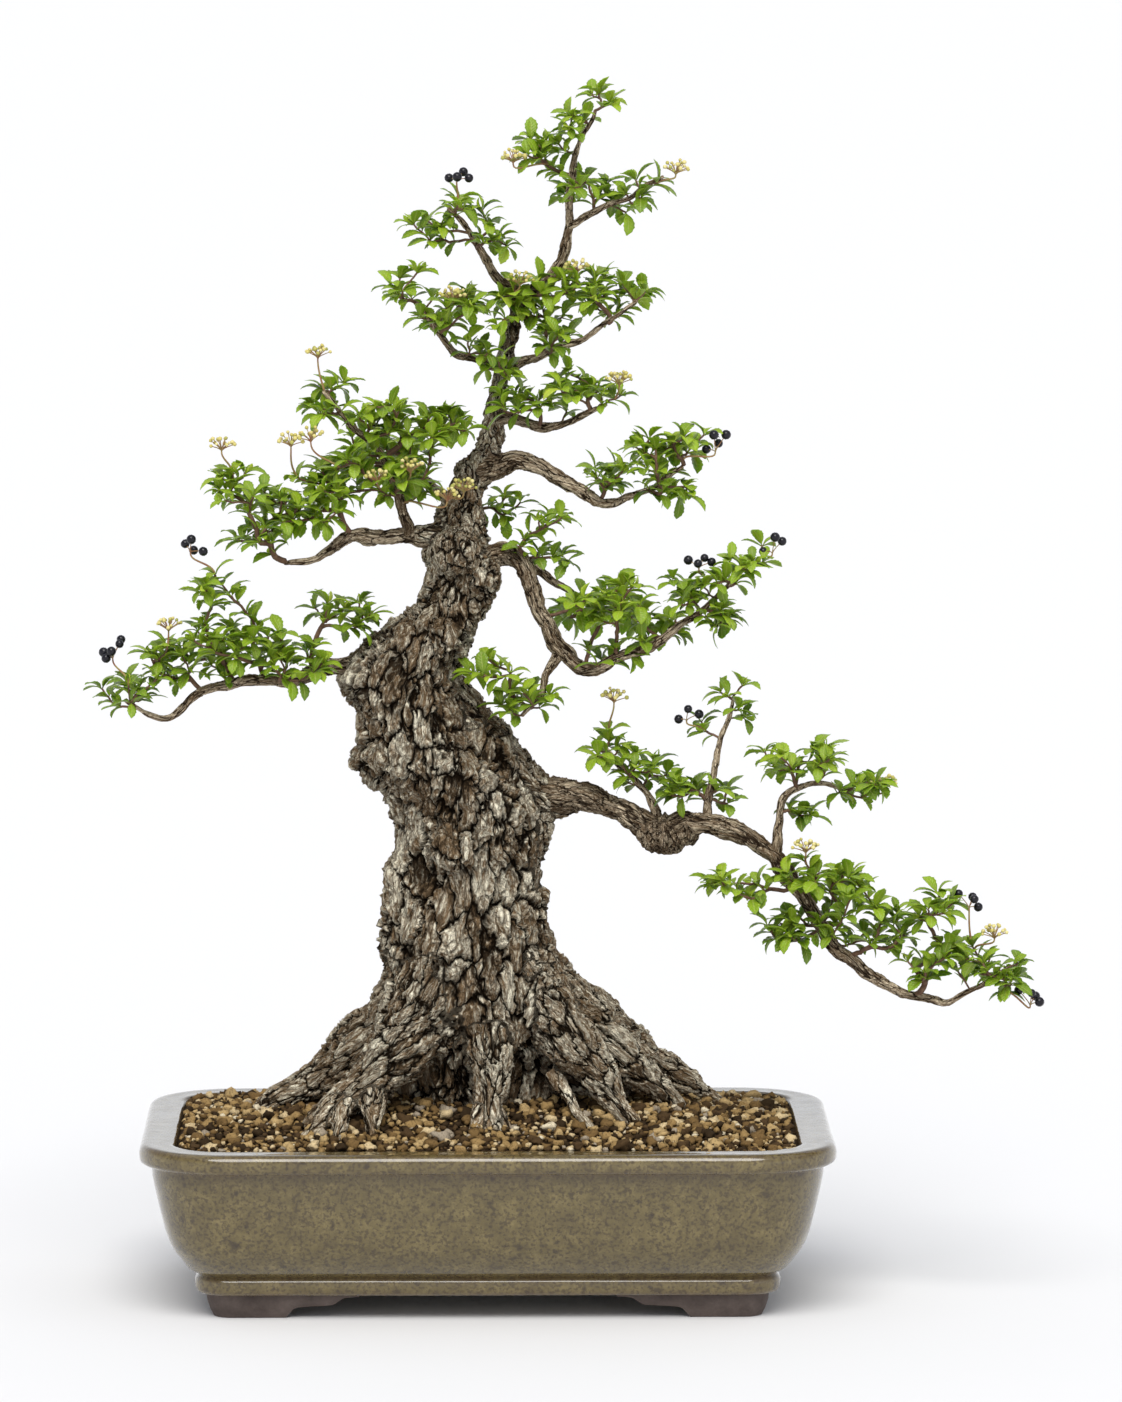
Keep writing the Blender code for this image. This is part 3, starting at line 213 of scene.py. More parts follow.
# Leaf masses: x, y, height and radius of each rounded tuft
LEAF_PADS = {
    "leaves_lower_left": metres([
        (-219, -30, 268, 18), (-195, -30, 284, 23), (-164, -30, 293, 26), (-137, -30, 293, 23),
        (-113, -30, 284, 19), (-164, -30, 328, 16)]),
    "leaves_lower_left_inner": metres([
        (-98, -6, 312, 13), (-78, -6, 313, 15)]),
    "leaves_upper_left_outer": metres([
        (-149, -22, 388, 18), (-128, -22, 377, 23), (-102, -22, 383, 26), (-136, -22, 359, 17)]),
    "leaves_upper_left_inner": metres([
        (-92, -8, 443, 19), (-68, -8, 433, 22), (-40, -8, 424, 21), (-19, -8, 430, 16),
        (-53, -8, 393, 21), (-82, -8, 400, 22)]),
    "leaves_apex_left": metres([
        (-34, -12, 544, 15), (-13, -12, 559, 16), (3, -12, 541, 15)]),
    "leaves_apex_leader": metres([
        (33, -10, 594, 16), (55, -10, 610, 15), (68, -10, 625, 10), (56, -10, 573, 18),
        (81, -10, 566, 16), (99, -10, 574, 11)]),
    "leaves_apex_low_left": metres([
        (-46, -16, 513, 15), (-29, -16, 493, 17), (-10, -16, 503, 16), (-5, -16, 476, 12)]),
    "leaves_apex_mid": metres([
        (21, -2, 503, 18), (8, -10, 494, 13), (44, -2, 507, 19), (70, -2, 503, 21), (93, -2, 503, 13),
        (44, -2, 481, 18)]),
    "leaves_apex_low": metres([
        (21, -8, 442, 17), (10, -10, 463, 12), (44, -8, 447, 19), (70, -8, 445, 16)]),
    "leaves_upper_right": metres([
        (77, -20, 395, 17), (100, -20, 406, 21), (123, -20, 418, 16), (111, -20, 390, 15)]),
    "leaves_trunk_shoot": metres([
        (11, 26, 374, 13)]),
    "leaves_mid_upper": metres([
        (29, -5, 354, 12), (38, -5, 370, 10), (47, -5, 347, 11)]),
    "leaves_mid_inner": metres([
        (59, -22, 315, 19), (81, -22, 321, 22), (102, -22, 303, 19), (74, -22, 289, 15)]),
    "leaves_mid_outer": metres([
        (124, -36, 328, 19), (147, -36, 342, 17), (164, -36, 349, 11), (138, -36, 312, 15)]),
    "leaves_mid_drop": metres([
        (2, -20, 278, 16), (20, -20, 260, 16), (35, -20, 261, 11)]),
    "leaves_cascade_inner": metres([
        (69, -12, 233, 15), (93, -12, 217, 17), (117, -12, 208, 18), (140, -12, 204, 15)]),
    "leaves_cascade_tall": metres([
        (146, -18, 268, 11), (150, -18, 252, 9), (130, -18, 244, 8)]),
    "leaves_cascade_crown": metres([
        (179, -26, 224, 16), (202, -26, 226, 16), (220, -26, 207, 15), (190, -26, 193, 13),
        (231, -26, 209, 11)]),
    "leaves_cascade_low": metres([
        (138, -52, 153, 12), (157, -52, 151, 13)]),
    "leaves_cascade_middle": metres([
        (195, -42, 154, 21), (220, -42, 146, 22), (184, -42, 123, 19), (206, -44, 126, 14),
        (237, -42, 122, 21)]),
    "leaves_cascade_tip": metres([
        (270, -54, 138, 16), (268, -54, 107, 21), (295, -54, 106, 19), (316, -54, 96, 15)]),
    "leaves_rear_left": metres([
        (-52, 66, 400, 22), (-76, 78, 404, 24)]),
    "leaves_rear_right": metres([
        (56, 60, 308, 18), (80, 66, 308, 24)]),
}
# Heads of the flower clusters; the first ones stand for the CAD nodes named here
FLOWER_NODES = ["flowers_apex", "flowers_upper_left", "flowers_cascade"]
FLOWERS = metres([
    (114, -18, 583), (-102, -14, 472), (241, -24, 211), (20, -16, 516), (55, -16, 524), (-20, -26, 507),
    (80, -20, 456), (-160, -26, 417), (-118, -34, 420), (-106, -36, 423), (-66, -30, 398),
    (-46, -30, 404), (-24, -22, 386), (-14, -18, 391), (-192, -40, 309), (77, -18, 263), (192, -58, 176),
    (306, -60, 124), (16, -20, 590)])
# Heads of the berry clusters; the first ones stand for the CAD nodes named here
BERRY_NODES = ["berries_lower_left", "berries_mid_right", "berries_cascade_tall", "berries_cascade_tip"]
BERRIES = metres([
    (-179, -30, 356), (172, -40, 356), (121, -18, 252), (291, -54, 142), (-226, -34, 292),
    (-18, -14, 579), (138, -24, 416), (128, -30, 346), (328, -58, 83)])


def at(x, y, z):
    """A place on the tree, from the middle of the pot's lip plane."""
    return ORIGIN + np.array([x, y, z])


# ---------------------------------------------------------------- mesh tools
def spline(values, steps):
    """A smooth run of values through the given ones."""
    values = np.array(values, dtype=float)
    padded = np.vstack([2 * values[0] - values[1], values, 2 * values[-1] - values[-2]])
    out = []
    for i in range(len(values) - 1):
        a, b, c, d = padded[i:i + 4]
        for step in range(steps):
            t = step / steps
            out.append(0.5 * (2 * b + (c - a) * t + (2 * a - 5 * b + 4 * c - d) * t * t
                              + (3 * b - a - 3 * c + d) * t ** 3))
    out.append(values[-1])
    return np.array(out)


class Pile:
    """Collects vertices, quads and per-vertex values, then makes one object of them."""

    def __init__(self):
        self.points = []
        self.quads = []
        self.values = {}
        self.count = 0

    def add(self, points, faces, **values):
        self.points.append(points)
        self.quads.append(faces + self.count)
        for key, value in values.items():
            self.values.setdefault(key, []).append(np.broadcast_to(value, (len(points),)))
        self.count += len(points)

    def make(self, name, material):
        points = np.concatenate(self.points)
        faces = np.concatenate(self.quads)
        obj = mesh_object(name, points, faces, material)
        for key, value in self.values.items():
            paint(obj, key, np.concatenate(value))
        return obj


def mesh_object(name, points, faces, material):
    """A smooth object from faces that all have the same number of corners."""
    mesh = bpy.data.meshes.new(name)
    sides = faces.shape[1]
    mesh.vertices.add(len(points))
    mesh.vertices.foreach_set("co", np.ascontiguousarray(points, dtype=np.float32).ravel())
    mesh.loops.add(faces.size)
    mesh.loops.foreach_set("vertex_index", np.ascontiguousarray(faces, dtype=np.int32).ravel())
    mesh.polygons.add(len(faces))
    mesh.polygons.foreach_set("loop_start", np.arange(len(faces), dtype=np.int32) * sides)
    mesh.polygons.foreach_set("use_smooth", np.ones(len(faces), dtype=bool))
    mesh.update(calc_edges=True)
    mesh.validate()
    obj = bpy.data.objects.new(name, mesh)
    bpy.context.scene.collection.objects.link(obj)
    mesh.materials.append(material)
    return obj


def solid_object(name, points, faces, material=None):
    """An object from faces with any number of corners."""
    mesh = bpy.data.meshes.new(name)
    mesh.from_pydata(np.asarray(points).tolist(), [], faces)
    if material is not None:
        mesh.materials.append(material)
    obj = bpy.data.objects.new(name, mesh)
    bpy.context.scene.collection.objects.link(obj)
    return obj


def shade_smooth(obj, sharp=None):
    """Smooth faces, with edges sharper than an angle in degrees kept crisp."""
    obj.data.polygons.foreach_set("use_smooth", np.ones(len(obj.data.polygons), dtype=bool))
    if sharp is not None:
        obj.data.set_sharp_from_angle(angle=math.radians(sharp))


def capped(rings, sides):
    """Faces of a stack of rings, closed at both ends."""
    last = (rings - 1) * sides
    return ring_faces(rings, sides).tolist() + [list(range(sides))[::-1], list(range(last, last + sides))]


def paint(obj, name, values):
    layer = obj.data.attributes.new(name, "FLOAT", "POINT")
    layer.data.foreach_set("value", np.ascontiguousarray(values, dtype=np.float32))


def ring_faces(rings, sides):
    """Quads between the rings of a tube."""
    i = np.arange(rings - 1)[:, None] * sides
    k = np.arange(sides)[None, :]
    j = (k + 1) % sides
    return np.stack([i + k, i + j, i + sides + j, i + sides + k], axis=-1).reshape(-1, 4)


def tube(centres, radii, sides):
    """Points and quads of a round tube that never twists, its ends drawn to a point."""
    centres = np.asarray(centres, dtype=float)
    along = np.gradient(centres, axis=0)
    along /= np.linalg.norm(along, axis=1)[:, None] + 1e-12
    side = np.array([0.13, 1.0, 0.07])
    angles = 2 * np.pi * np.arange(sides) / sides
    rings = []
    normals = []
    for i, centre in enumerate(centres):
        side = side - along[i] * along[i].dot(side)
        side /= np.linalg.norm(side) + 1e-12
        across = np.cross(along[i], side)
        out = np.cos(angles)[:, None] * side + np.sin(angles)[:, None] * across
        rings.append(centre + out * radii[i])
        normals.append(out)
    first = np.repeat((centres[0] - along[0] * radii[0] * 0.5)[None], sides, axis=0)
    last = np.repeat((centres[-1] + along[-1] * radii[-1] * 0.5)[None], sides, axis=0)
    tip_in = first + normals[0] * radii[0] * 0.02
    tip_out = last + normals[-1] * radii[-1] * 0.02
    points = np.concatenate([tip_in] + rings + [tip_out])
    outward = np.concatenate([normals[0]] + normals + [normals[-1]])
    faces = ring_faces(len(rings) + 2, sides)
    return points, faces, outward


def smoothstep(low, high, x):
    t = np.clip((x - low) / (high - low), 0.0, 1.0)
    return t * t * (3 - 2 * t)


# ---------------------------------------------------------------- materials
class Nodes:
    """Short hand for a node tree, a material's or a geometry group's."""

    def __init__(self, name, tree=None):
        self.tree = tree
        if tree is None:
            self.material = bpy.data.materials.new(name)
            self.material.use_nodes = True
            self.tree = self.material.node_tree
            self.shader = self.tree.nodes["Principled BSDF"]

    def new(self, kind, **settings):
        node = self.tree.nodes.new(kind)
        for key, value in settings.items():
            setattr(node, key, value)
        return node

    def link(self, a, b):
        self.tree.links.new(a, b)

    def put(self, socket, value):
        if isinstance(value, bpy.types.NodeSocket):
            self.link(value, socket)
        else:
            socket.default_value = value

    def value(self, name):
        return self.new("ShaderNodeAttribute", attribute_name=name).outputs["Fac"]

    def noise(self, scale, detail, rough, vector=None):
        node = self.new("ShaderNodeTexNoise")
        node.inputs["Scale"].default_value = scale
        node.inputs["Detail"].default_value = detail
        node.inputs["Roughness"].default_value = rough
        if vector is None:
            vector = self.new("ShaderNodeTexCoord").outputs["Object"]
        self.link(vector, node.inputs["Vector"])
        return node.outputs["Fac"]

    def ramp(self, fac, stops, mode="LINEAR"):
        node = self.new("ShaderNodeValToRGB")
        node.color_ramp.interpolation = mode
        ramp = node.color_ramp.elements
        while len(ramp) < len(stops):
            ramp.new(0.5)
        for element, (place, colour) in zip(ramp, stops):
            element.position = place
            if isinstance(colour, (int, float)):
                colour = (colour,) * 3
            element.color = (*colour, 1.0)
        self.put(node.inputs["Fac"], fac)
        return node.outputs["Color"]

    def mix(self, fac, a, b):
        node = self.new("ShaderNodeMix", data_type="RGBA")
        self.put(node.inputs[0], fac)
        for socket, value in ((node.inputs[6], a), (node.inputs[7], b)):
            self.put(socket, (*value, 1.0) if isinstance(value, tuple) else value)
        return node.outputs[2]

    def math(self, operation, a, b=0.0, kind="ShaderNodeMath"):
        node = self.new(kind, operation=operation)
        self.put(node.inputs[0], a)
        self.put(node.inputs[1], b)
        return node.outputs[0]

    def times(self, a, b):
        return self.math("MULTIPLY", a, b)

    def plus(self, a, b):
        return self.math("ADD", a, b)

    def vector(self, operation, a, b):
        return self.math(operation, a, b, "ShaderNodeVectorMath")

    def swirl(self, where, scale, amount):
        """A place pushed about by noise."""
        node = self.new("ShaderNodeTexNoise")
        node.inputs["Scale"].default_value = scale
        node.inputs["Detail"].default_value = 2.0
        self.link(where, node.inputs["Vector"])
        push = self.vector("SUBTRACT", node.outputs["Color"], (0.5, 0.5, 0.5))
        return self.vector("ADD", where, self.vector("MULTIPLY", push, (amount,) * 3))

    def cells(self, where, scale, feature):
        node = self.new("ShaderNodeTexVoronoi", feature=feature)
        node.inputs["Scale"].default_value = scale
        self.link(where, node.inputs["Vector"])
        return node

    def part(self, vector, axis):
        node = self.new("ShaderNodeSeparateXYZ")
        self.link(vector, node.inputs[0])
        return node.outputs[axis]

    def fit(self, value, low, high, to_low=0.0, to_high=1.0):
        node = self.new("ShaderNodeMapRange")
        for index, item in enumerate((value, low, high, to_low, to_high)):
            self.put(node.inputs[index], item)
        return node.outputs[0]

    def bump(self, height, distance, strength=1.0, normal=None):
        node = self.new("ShaderNodeBump")
        node.inputs["Strength"].default_value = strength
        self.put(node.inputs["Distance"], distance)
        self.link(height, node.inputs["Height"])
        if normal is not None:
            self.link(normal, node.inputs["Normal"])
        return node.outputs["Normal"]

    def finish(self, colour, rough, normal=None, specular=0.5, coat=0.0):
        self.put(self.shader.inputs["Base Color"], (*colour, 1.0) if isinstance(colour, tuple) else colour)
        self.put(self.shader.inputs["Roughness"], rough)
        self.shader.inputs["Specular IOR Level"].default_value = specular
        if coat:
            self.shader.inputs["Coat Weight"].default_value = coat
            self.shader.inputs["Coat Roughness"].default_value = 0.06
        if normal is not None:
            self.link(normal, self.shader.inputs["Normal"])
        return self.material


def glaze_material():
    n = Nodes("glaze")
    fine = n.noise(900.0, 2.0, 0.6)
    specks = n.ramp(n.noise(480.0, 2.0, 0.6), [(0.40, 1.0), (0.50, 0.0)])
    big_specks = n.ramp(n.noise(190.0, 1.0, 0.4), [(0.27, 1.0), (0.33, 0.0)])
    mottle = n.noise(95.0, 6.0, 0.80)
    cloud = n.noise(9.0, 3.0, 0.6)
    olive = n.ramp(mottle, [(0.32, (0.078, 0.055, 0.016)), (0.50, (0.134, 0.100, 0.030)),
                            (0.66, (0.224, 0.172, 0.062))])
    olive = n.mix(n.times(cloud, 0.35), olive, (0.105, 0.082, 0.040))
    olive = n.mix(n.times(fine, 0.25), olive, (0.075, 0.056, 0.026))
    olive = n.mix(n.times(specks, 0.72), olive, (0.045, 0.029, 0.012))
    olive = n.mix(n.times(big_specks, 0.60), olive, (0.028, 0.017, 0.009))
    olive = n.mix(n.times(n.value("thin"), 0.50), olive, (0.085, 0.045, 0.020))
    wavy = n.bump(n.noise(26.0, 2.0, 0.5), 0.0012, 0.25)
    pitted = n.bump(n.noise(520.0, 2.0, 0.5), 0.00025, 0.35, wavy)
    rough = n.ramp(n.noise(120.0, 3.0, 0.6), [(0.3, 0.20), (0.7, 0.36)])
    return n.finish(olive, rough, pitted, 0.25, 1.0)


def clay_material():
    n = Nodes("bare_clay")
    tone = n.ramp(n.noise(60.0, 5.0, 0.7), [(0.3, (0.060, 0.044, 0.038)), (0.7, (0.135, 0.105, 0.092))])
    grit = n.noise(700.0, 2.0, 0.6)
    tone = n.mix(n.times(grit, 0.4), tone, (0.045, 0.034, 0.030))
    return n.finish(tone, 0.78, n.bump(grit, 0.0005, 0.5), 0.3)


def soil_material(name, gap_shade):
    n = Nodes(name)
    tint = n.value("tint")
    palette = [(0.00, (0.020, 0.013, 0.007)), (0.13, (0.065, 0.039, 0.018)), (0.27, (0.180, 0.110, 0.042)),
               (0.42, (0.350, 0.228, 0.092)), (0.58, (0.520, 0.365, 0.168)), (0.73, (0.700, 0.545, 0.310)),
               (0.86, (0.380, 0.320, 0.240)), (0.94, (0.800, 0.700, 0.500))]
    stone = n.ramp(tint, palette, "CONSTANT")
    patch = n.noise(260.0, 4.0, 0.65)
    stone = n.mix(n.times(patch, 0.35), stone, (0.110, 0.066, 0.030))
    pores = n.ramp(n.noise(900.0, 2.0, 0.6), [(0.36, 1.0), (0.46, 0.0)])
    stone = n.mix(n.times(pores, 0.5), stone, (0.030, 0.018, 0.010))
    # Painted shade: the bed that shows between the stones is darkened most of the way to near black.
    if gap_shade:
        stone = n.mix(0.75, stone, (0.030, 0.018, 0.011))
    rough = n.bump(n.noise(500.0, 4.0, 0.7), 0.0006, 0.7)
    return n.finish(stone, 0.92, rough, 0.07)


def bark_field(n, where):
    """Cracked bark at a place in plate widths: height, and what its colour hangs on."""
    bent = n.swirl(n.swirl(where, 0.7, 1.1), 3.0, 0.50)
    edge = n.cells(bent, 1.0, "DISTANCE_TO_EDGE").outputs["Distance"]
    plate = n.cells(bent, 1.0, "F1")
    shade = n.part(plate.outputs["Color"], 0)
    tilt = n.part(n.vector("SUBTRACT", plate.outputs["Position"], bent), 2)
    width = n.fit(n.noise(0.8, 2.0, 0.5, where), 0.36, 0.64, 0.040, 0.160)
    crack = n.math("POWER", n.fit(edge, 0.008, width), 0.60)
    flaked = n.swirl(bent, 5.0, 0.16)
    flake = n.part(n.cells(flaked, 2.7, "F1").outputs["Color"], 1)
    split = n.fit(n.cells(flaked, 2.7, "DISTANCE_TO_EDGE").outputs["Distance"], 0.01, 0.16)
    fibre = n.noise(1.0, 6.0, 0.72, n.vector("MULTIPLY", bent, (6.5, 6.5, 2.2)))
    body = n.plus(n.times(shade, 0.30), n.times(tilt, 0.42))
    body = n.plus(body, n.times(n.times(split, flake), 0.46))
    body = n.plus(body, n.times(fibre, 0.42))
    height = n.times(crack, n.plus(body, 0.24))
    return height, shade, fibre, split


def bark_relief():
    """Geometry nodes that push a skin out by the bark field at its 'bark' place, times its 'relief'."""
    group = bpy.data.node_groups.new("bark_relief", "GeometryNodeTree")
    group.interface.new_socket("Geometry", in_out="INPUT", socket_type="NodeSocketGeometry")
    group.interface.new_socket("Geometry", in_out="OUTPUT", socket_type="NodeSocketGeometry")
    n = Nodes("", group)
    place = n.new("GeometryNodeInputNamedAttribute", data_type="FLOAT_VECTOR")
    place.inputs["Name"].default_value = "bark"
    relief = n.new("GeometryNodeInputNamedAttribute", data_type="FLOAT")
    relief.inputs["Name"].default_value = "relief"
    height = bark_field(n, place.outputs["Attribute"])[0]
    push = n.times(n.math("SUBTRACT", height, BARK_ZERO), relief.outputs["Attribute"])
    shift = n.new("GeometryNodeSetPosition")
    scale = n.new("ShaderNodeVectorMath", operation="SCALE")
    n.link(n.new("GeometryNodeInputNormal").outputs[0], scale.inputs[0])
    n.link(push, scale.inputs["Scale"])
    n.link(scale.outputs[0], shift.inputs["Offset"])
    n.link(n.new("NodeGroupInput").outputs[0], shift.inputs["Geometry"])
    n.link(shift.outputs["Geometry"], n.new("NodeGroupOutput").inputs[0])
    return group


def roughen(obj):
    """Carve the bark field into the object's mesh."""
    carve = obj.modifiers.new("Bark", "NODES")
    carve.node_group = bpy.data.node_groups.get("bark_relief") or bark_relief()
    bake(obj)


def bark_material(name, light, middle, crack_shade, hairline_shade):
    n = Nodes(name)
    where = n.new("ShaderNodeAttribute", attribute_name="bark").outputs["Vector"]
    relief = n.value("relief")
    height, shade, fibre, split = bark_field(n, where)
    blotch = n.noise(38.0, 4.0, 0.6)
    crackle = n.cells(n.swirl(where, 9.0, 0.20), 7.0, "DISTANCE_TO_EDGE").outputs["Distance"]
    hair = n.fit(crackle, 0.005, 0.07)
    level = n.plus(n.times(fibre, 0.96), n.times(shade, 0.11))
    level = n.plus(level, n.times(blotch, 0.22))
    half = tuple(0.42 * a + 0.58 * b for a, b in zip(light, middle))
    dim = tuple(0.46 * a for a in middle)
    top = n.ramp(level, [(0.47, dim), (0.585, middle), (0.675, half), (0.76, light)])
    # Painted shade: the splits between flakes are darkened towards a dim bark colour.
    top = n.mix(n.times(n.math("SUBTRACT", 1.0, split), 0.55), top, tuple(0.40 * a for a in middle))
    # Painted shade: the hairline cracks are darkened towards a dim bark colour.
    top = n.mix(n.times(n.math("SUBTRACT", 1.0, hair), hairline_shade), top, tuple(0.35 * a for a in middle))
    # Painted shade: the low parts of the bark field, its cracks, are mixed towards the near-black crack
    # colour.
    colour = n.mix(n.ramp(height, [(0.12, 1.0), (0.34, 0.80), (0.58, 0.0)]), top, crack_shade)
    tall = n.plus(height, n.times(hair, 0.10))
    grain = n.bump(tall, n.times(relief, 1.1), 1.0)
    grain = n.bump(n.noise(900.0, 3.0, 0.7), 0.0004, 0.6, grain)
    return n.finish(colour, 0.92, grain, 0.07)


def leaf_material():
    n = Nodes("leaf")
    tone = n.value("tone")
    across = n.value("across")
    along = n.value("along")
    base = n.ramp(tone, [(0.0, (0.110, 0.180, 0.009)), (0.35, (0.215, 0.325, 0.013)),
                         (0.70, (0.320, 0.440, 0.022)), (1.0, (0.500, 0.590, 0.068))])
    side = n.math("ABSOLUTE", across)
    wave = n.math("SINE", n.times(n.math("SUBTRACT", along, n.times(side, 0.22)), 48.0))
    vein = n.ramp(wave, [(0.86, 0.0), (1.0, 1.0)])
    rib = n.ramp(side, [(0.03, 1.0), (0.11, 0.0)])
    base = n.mix(n.times(vein, 0.22), base, (0.340, 0.420, 0.080))
    base = n.mix(n.times(rib, 0.45), base, (0.440, 0.500, 0.140))
    base = n.mix(n.times(n.noise(150.0, 3.0, 0.6), 0.22), base, (0.060, 0.110, 0.010))
    relief = n.bump(n.plus(wave, n.noise(420.0, 2.0, 0.5)), 0.0003, 0.30)
    made = n.finish(base, 0.40, relief, 0.35)
    n.shader.inputs["Subsurface Weight"].default_value = 0.35
    n.shader.inputs["Subsurface Radius"].default_value = (0.6, 1.0, 0.2)
    n.shader.inputs["Subsurface Scale"].default_value = 0.0012
    return made


def plain_material(name, patches, low, high, rough, grain, depth, strength, specular):
    """Two tones in patches under a fine grain. Both are noises: scale, detail, roughness."""
    n = Nodes(name)
    tone = n.ramp(n.noise(*patches), [(0.3, low), (0.7, high)])
    return n.finish(tone, rough, n.bump(n.noise(*grain), depth, strength), specular)


def twig_material():
    return plain_material("twig", (240.0, 4.0, 0.6), (0.075, 0.036, 0.022), (0.190, 0.110, 0.065), 0.7,
                          (700.0, 3.0, 0.6), 0.0003, 0.5, 0.3)


def flower_material():
    n = Nodes("flower")
    tone = n.ramp(n.value("tone"), [(0.0, (0.330, 0.360, 0.080)), (0.4, (0.600, 0.520, 0.150)),
                                    (1.0, (0.820, 0.740, 0.360))])
    tone = n.mix(n.times(n.noise(900.0, 2.0, 0.5), 0.3), tone, (0.420, 0.330, 0.080))
    return n.finish(tone, 0.55, n.bump(n.noise(1500.0, 2.0, 0.5), 0.0002, 0.5), 0.35)


def berry_material():
    n = Nodes("berry")
    bloom = n.noise(300.0, 3.0, 0.6)
    tone = n.ramp(bloom, [(0.35, (0.003, 0.0025, 0.005)), (0.75, (0.012, 0.011, 0.018))])
    rough = n.ramp(bloom, [(0.3, 0.16), (0.8, 0.34)])
    return n.finish(tone, rough, n.bump(bloom, 0.0002, 0.3), 0.35)


def pedicel_material():
    return plain_material("pedicel", (200.0, 2.0, 0.5), (0.290, 0.120, 0.070), (0.330, 0.270, 0.090), 0.6,
                          (900.0, 2.0, 0.5), 0.0002, 0.4, 0.3)


def plastic_material():
    return plain_material("mesh_plastic", (200.0, 3.0, 0.6), (0.012, 0.012, 0.012), (0.030, 0.030, 0.030),
                          0.55, (600.0, 2.0, 0.5), 0.0002, 0.4, 0.4)


def wire_material():
    made = plain_material("wire", (300.0, 3.0, 0.6), (0.42, 0.42, 0.43), (0.66, 0.66, 0.67), 0.35,
                          (900.0, 2.0, 0.5), 0.0001, 0.3, 0.5)
    made.node_tree.nodes["Principled BSDF"].inputs["Metallic"].default_value = 1.0
    return made


def keep(obj, slot, *nodes):
    """Ride on the root body and stand for the CAD nodes. The record's slot is not used."""
    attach(obj, "root")
    if nodes:
        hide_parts(*nodes)
    return obj


# ---------------------------------------------------------------- pot
def rounded_outline(half_x, half_y, radius, corner_steps, side_steps):
    """Points and outward directions of a rounded rectangle, anticlockwise from above."""
    points = []
    corners = [(1, 1), (-1, 1), (-1, -1), (1, -1)]
    for index, (sign_x, sign_y) in enumerate(corners):
        for step in range(corner_steps + 1):
            angle = math.pi / 2 * (index + step / corner_steps)
            points.append((sign_x * (half_x - radius) + radius * math.cos(angle),
                           sign_y * (half_y - radius) + radius * math.sin(angle)))
        here = points[-1]
        after = corners[(index + 1) % 4]
        angle = math.pi / 2 * (index + 1)
        there = (after[0] * (half_x - radius) + radius * math.cos(angle),
                 after[1] * (half_y - radius) + radius * math.sin(angle))
        for step in range(1, side_steps):
            t = step / side_steps
            points.append((here[0] + (there[0] - here[0]) * t, here[1] + (there[1] - here[1]) * t))
    return np.array(points)


def pot_profile():
    """Inset from the lip's edge, height, and how thin the glaze lies, up the outside and down inside."""
    wall = LIP_Z - FOOT_TOP
    under = LIP_Z - LIP_DROP
    band = FOOT_TOP + BAND_HEIGHT
    floor = FOOT_TOP + FLOOR_THICKNESS
    return [
        (0.040, FOOT_TOP, 0.6), (0.0385, FOOT_TOP, 0.9), (0.0362, FOOT_TOP + 0.0004, 0.9),
        (0.0345, FOOT_TOP + 0.0014, 0.9),
        (0.0336, FOOT_TOP + 0.0030, 0.35), (0.0332, FOOT_TOP + 0.0055, 0.1), (0.0331, band - 0.0022, 0.3),
        (0.0336, band - 0.0008, 0.8), (0.0346, band + 0.0004, 0.9), (0.0350, band + 0.0010, 0.9),
        (0.0344, band + 0.0018, 0.6), (0.0322, band + 0.0028, 0.25), (0.0286, band + 0.0050, 0.0),
        (0.0240, FOOT_TOP + wall * 0.24, 0.0), (0.0207, FOOT_TOP + wall * 0.285, 0.0),
        (0.0180, FOOT_TOP + wall * 0.34, 0.0), (0.0152, FOOT_TOP + wall * 0.43, 0.0),
        (0.0131, FOOT_TOP + wall * 0.53, 0.0), (0.0110, FOOT_TOP + wall * 0.63, 0.0),
        (0.0092, FOOT_TOP + wall * 0.72, 0.0), (0.0080, FOOT_TOP + wall * 0.79, 0.1),
        (0.0076, under - 0.0022, 0.5), (0.0074, under - 0.0008, 1.0), (0.0068, under - 0.0001, 1.0),
        (0.0045, under + 0.0001, 1.0), (0.0022, under + 0.0005, 0.8), (0.0008, under + 0.0016, 0.45),
        (0.0001, under + 0.0032, 0.2), (0.0, LIP_Z - 0.0052, 0.1), (0.0005, LIP_Z - 0.0030, 0.3),
        (0.0015, LIP_Z - 0.0014, 0.7), (0.0030, LIP_Z - 0.0004, 0.8), (0.0048, LIP_Z, 0.3),
        (0.0080, LIP_Z - 0.0001, 0.0), (0.0120, LIP_Z - 0.0003, 0.0), (0.0165, LIP_Z - 0.0002, 0.0),
        (0.0192, LIP_Z - 0.0001, 0.3), (0.0208, LIP_Z - 0.0006, 0.8), (0.0218, LIP_Z - 0.0016, 0.9),
        (0.0222, LIP_Z - 0.0035, 0.5), (0.0230, under, 0.0), (0.0250, FOOT_TOP + wall * 0.53, 0.0),
        (0.0320, FOOT_TOP + wall * 0.28, 0.0), (0.0420, floor, 0.0),
    ]


